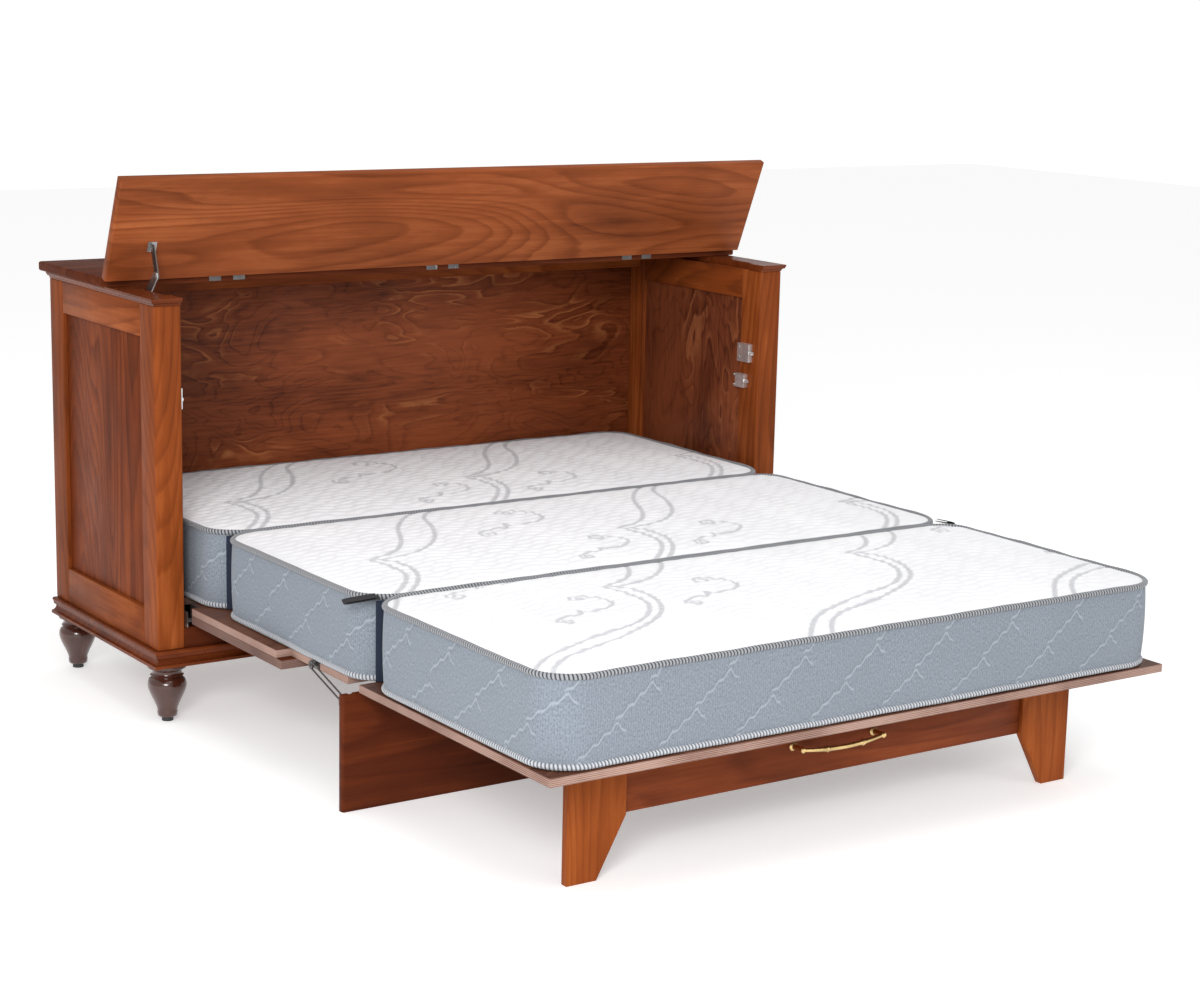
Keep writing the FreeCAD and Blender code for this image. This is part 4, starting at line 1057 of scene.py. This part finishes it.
def brass_handle():
    """Bow handle: tapered posts on round roses, and a swelling bar with two turned beads."""
    low, high = low_high("handle")
    half = (high.x - low.x) / 2 - 0.009
    face, front = high.y, low.y + 0.007
    z = high.z - 0.0105
    bm = bmesh.new()
    bar, radii = [], []
    steps = 90
    for k in range(steps + 1):
        t = -1 + 2 * k / steps
        bar.append(Vector((t * (half + 0.004), front + 0.009 * t * t, z - 0.006 * (1 - t * t))))
        radius = 0.0036 + 0.0012 * (1 - t * t)
        for bead in BEAD_PLACES:
            radius += 0.0026 * math.exp(-((t - bead) / 0.018) ** 2)
            radius += 0.0012 * math.exp(-((abs(t - bead) - 0.05) / 0.012) ** 2)
        radius += 0.0022 * math.exp(-((abs(t) - 0.965) / 0.03) ** 2)
        radii.append(radius)
    tube(bm, bar, radii)
    for sign in (-1, 1):
        x = sign * half
        post = [(face, 0.0095), (face - 0.0015, 0.0095), (face - 0.003, 0.0082), (face - 0.0045, 0.0058),
                (face - 0.010, 0.0048), (face - 0.018, 0.0044), (front + 0.016, 0.0052),
                (front + 0.012, 0.0062), (front + 0.009, 0.0064), (front + 0.004, 0.0058),
                (front + 0.002, 0.0035)]
        tube(bm, [Vector((x, y, z)) for y, _ in post], [r for _, r in post], 24)
    bmesh.ops.recalc_face_normals(bm, faces=bm.faces)
    piece = new_object("bow_handle", bm, [brass], "leg_frame", 40)
    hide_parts("handle")


brass_handle()


# ================================================================ folding stay

def stay_link(name, node, body, ends, across, width, material):
    """A pressed steel link with round ends, a long groove and a rivet at each end."""
    start, end = (Vector((0, y, z)) for y, z in ends)
    x = (across[0] + across[1]) / 2
    thick = abs(across[1] - across[0])
    length = (end - start).length
    bm = bmesh.new()
    bmesh.ops.create_cube(bm, size=1.0)
    bmesh.ops.scale(bm, verts=bm.verts, vec=(thick, length + width, width))
    corners = [e for e in bm.edges if abs(e.verts[0].co.x - e.verts[1].co.x) > thick * 0.9]
    bmesh.ops.bevel(bm, geom=corners, offset=width * 0.46, segments=7, affect="EDGES", profile=0.5,
                    material=-1)
    faces = [f for f in bm.faces if abs(f.normal.x) > 0.9]
    bmesh.ops.inset_region(bm, faces=faces, thickness=width * 0.16, depth=0.0)
    bmesh.ops.inset_region(bm, faces=[f for f in faces if f.is_valid], thickness=width * 0.07, depth=-0.0006)
    for where in (-length / 2, length / 2):
        rivet = bmesh.ops.create_cone(bm, cap_ends=True, segments=20, radius1=width * 0.24,
                                      radius2=width * 0.17, depth=thick + 0.002)["verts"]
        bmesh.ops.rotate(bm, verts=rivet, cent=(0, 0, 0), matrix=Matrix.Rotation(math.pi / 2, 3, "Y"))
        bmesh.ops.translate(bm, verts=rivet, vec=(0, where, 0))
    lean = math.atan2(end.z - start.z, end.y - start.y)
    bmesh.ops.rotate(bm, verts=bm.verts, cent=(0, 0, 0), matrix=Matrix.Rotation(lean, 3, "X"))
    bmesh.ops.translate(bm, verts=bm.verts, vec=(x, (start.y + end.y) / 2, (start.z + end.z) / 2))
    piece = new_object(name, bm, [material], body, 30)
    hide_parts(node)


KNEE_INSET = 0.006     # from the arm's end to its knee pin


def stay():
    """Two links that fold at the knee, side by side against the cabinet's wall."""
    base, lid_pin = (joint_place(name)[1:] for name in ("stay_lower_pivot", "stay_upper_pivot"))
    low, high = low_high("stay_lower_arm")
    wall, knee = low.x, (low.y + KNEE_INSET, high.z - KNEE_INSET)
    stay_link("stay_lower_link", "stay_lower_arm", "stay_lower", (base, knee),
              (wall - 0.0008, wall + 0.0022), 0.021, zinc)
    stay_link("stay_upper_link", "stay_upper_arm", "stay_upper", (lid_pin, knee),
              (wall + 0.0028, wall + 0.0056), 0.018, dark_steel)


stay()


# ================================================================ screws and small fittings

def screw_head(bm, centre, outward, radius):
    """A countersunk screw head with a shallow recess, facing outward."""
    outward = Vector(outward)
    turn = outward.to_track_quat("Z", "Y").to_matrix().to_4x4()
    before = set(bm.verts)
    bmesh.ops.create_cone(bm, cap_ends=True, segments=18, radius1=radius, radius2=radius * 0.78,
                          depth=radius * 0.4)
    head = [v for v in bm.verts if v not in before]
    faces = [f for f in bm.faces if all(v in head for v in f.verts)]
    top = max(faces, key=lambda f: f.calc_center_median().z)
    bmesh.ops.inset_region(bm, faces=[top], thickness=radius * 0.38, depth=-radius * 0.14)
    head = [v for v in bm.verts if v not in before]
    bmesh.ops.transform(bm, matrix=Matrix.Translation(Vector(centre)) @ turn, verts=head)


def screws(name, body, places, radius=0.0038):
    """A piece made of screw heads at (centre, outward) places."""
    bm = bmesh.new()
    for centre, outward in places:
        screw_head(bm, centre, outward, radius)
    piece = new_object(name, bm, [zinc], body)


FOLD_SCREWS = 4
FOLD_SCREW_SPAN = 1.512
FOLD_SCREW_SETBACK = 0.052     # from the fold hinge's line


def fittings():
    """Screw heads on the catches, the deck's pivots and the fold hinges."""
    pivot = joint_place("deck_raise")
    for side, sign in (("left", -1), ("right", 1)):
        low, high = low_high(f"{side}_front_post")
        inner = high.x if sign < 0 else low.x
        facing = (-sign, 0, 0)
        places = []
        for level in ("upper", "lower"):
            plunger = middle(f"{side}_{level}_plunger")
            for dz in (-0.013, 0.013):
                places.append(((inner - sign * 0.0134, plunger.y + 0.034, plunger.z + dz), facing))
        screws(f"{side}_catch_screws", "cabinet", places)
        places = [((inner - sign * 0.003, pivot[1] + 0.03, pivot[2] + dz), facing) for dz in (-0.006, 0.014)]
        screws(f"{side}_pivot_screws", "cabinet", places)
    fold, deck_face = joint_place("foot_fold")[1], low_high("deck_board")[1].z - 0.0006
    pitch = FOLD_SCREW_SPAN / FOLD_SCREWS
    across = [pitch * (number - (FOLD_SCREWS - 1) / 2) for number in range(FOLD_SCREWS)]
    for node, body, way in (("fold_hinge_deck_leaves", "deck", 1),
                            ("fold_hinge_foot_leaves", "foot_end", -1)):
        places = [((x, fold + way * FOLD_SCREW_SETBACK, deck_face), (0, 0, 1)) for x in across]
        screws(f"{node}_screws", body, places, 0.003)


fittings()


# ================================================================ metal and plastic on the CAD fittings

def coat(material, names):
    """Give CAD nodes a finish."""
    for name in names:
        mesh = NODES[name].data
        mesh.materials.clear()
        mesh.materials.append(material)


coat(nickel, [n for n in NODES if "plunger" in n or n == "catch_housings"])
coat(zinc, [n for n in NODES if "hinge" in n])
coat(dark_steel, [n for n in NODES if "lid_hinge" in n])
coat(zinc, [n for n in NODES if "stay" in n and "kick" not in n])
coat(dark_steel, [n for n in NODES if "kick_stay" in n or "pivot" in n])
coat(plastic, ["foot_glides"])


# ================================================================ floor, light and camera

def floor():
    """A wide pale floor that glows a little, so that it meets the white backdrop."""
    bm = bmesh.new()
    bmesh.ops.create_grid(bm, x_segments=1, y_segments=1, size=14.0)
    mesh = bpy.data.meshes.new("floor")
    bm.to_mesh(mesh)
    bm.free()
    piece = bpy.data.objects.new("floor", mesh)
    scene.collection.objects.link(piece)
    material, n, shader = finish("pale floor")
    n.fill(shader, Base_Color=(0.85, 0.85, 0.85, 1), Roughness=0.9, Emission_Color=(1, 1, 1, 1),
           Emission_Strength=0.38)
    mesh.materials.append(material)


def area(name, place, aim, size, power):
    """A soft rectangular light."""
    data = bpy.data.lights.new(name, "AREA")
    data.shape, data.size, data.size_y = "RECTANGLE", size[0], size[1]
    data.energy = power
    light = bpy.data.objects.new(name, data)
    light.location = place
    light.rotation_euler = (Vector(aim) - Vector(place)).to_track_quat("-Z", "Y").to_euler()
    scene.collection.objects.link(light)


def studio():
    """White surroundings, brighter to the camera than to the object, and three soft lights."""
    world = bpy.data.worlds.new("studio")
    world.use_nodes = True
    glow = world.node_tree.nodes["Background"]
    glow.inputs[0].default_value = (1, 1, 1, 1)
    n = Nodes(world.node_tree)
    seen = n.add("ShaderNodeLightPath").outputs["Is Camera Ray"]
    n.link(n.blend(seen, 0.66, 1.05), glow.inputs[1])
    scene.world = world
    area("key", (-3.6, -3.9, 2.6), (-0.2, 0.1, 0.6), (1.8, 1.6), 185)
    area("front_fill", (2.4, -4.8, 1.8), (0.2, 0, 0.4), (2.4, 1.6), 22)
    area("over", (-0.3, -0.9, 4.2), (0, -0.3, 0.4), (3.2, 2.4), 42)


EYE = Vector((-3.058, -4.5032, 1.632))
YAW, PITCH, ROLL = 0.6005, 0.2035, 0.0223
LENS = 74.46


def camera():
    """Stand front left, a little above the lid, as a person would look at the whole bed."""
    yaw, pitch, roll = YAW, PITCH, ROLL
    ahead = Vector((math.sin(yaw) * math.cos(pitch), math.cos(yaw) * math.cos(pitch), -math.sin(pitch)))
    level = Vector((math.cos(yaw), -math.sin(yaw), 0))
    upward = level.cross(ahead)
    right = level * math.cos(roll) + upward * math.sin(roll)
    up = upward * math.cos(roll) - level * math.sin(roll)
    data = bpy.data.cameras.new("camera")
    data.sensor_width = 36.0
    data.lens = LENS
    view = bpy.data.objects.new("camera", data)
    view.matrix_world = Matrix((
        (right.x, up.x, -ahead.x, EYE.x),
        (right.y, up.y, -ahead.y, EYE.y),
        (right.z, up.z, -ahead.z, EYE.z),
        (0, 0, 0, 1)))
    scene.collection.objects.link(view)
    scene.camera = view


scene.view_settings.view_transform = "Standard"
floor()
studio()
camera()
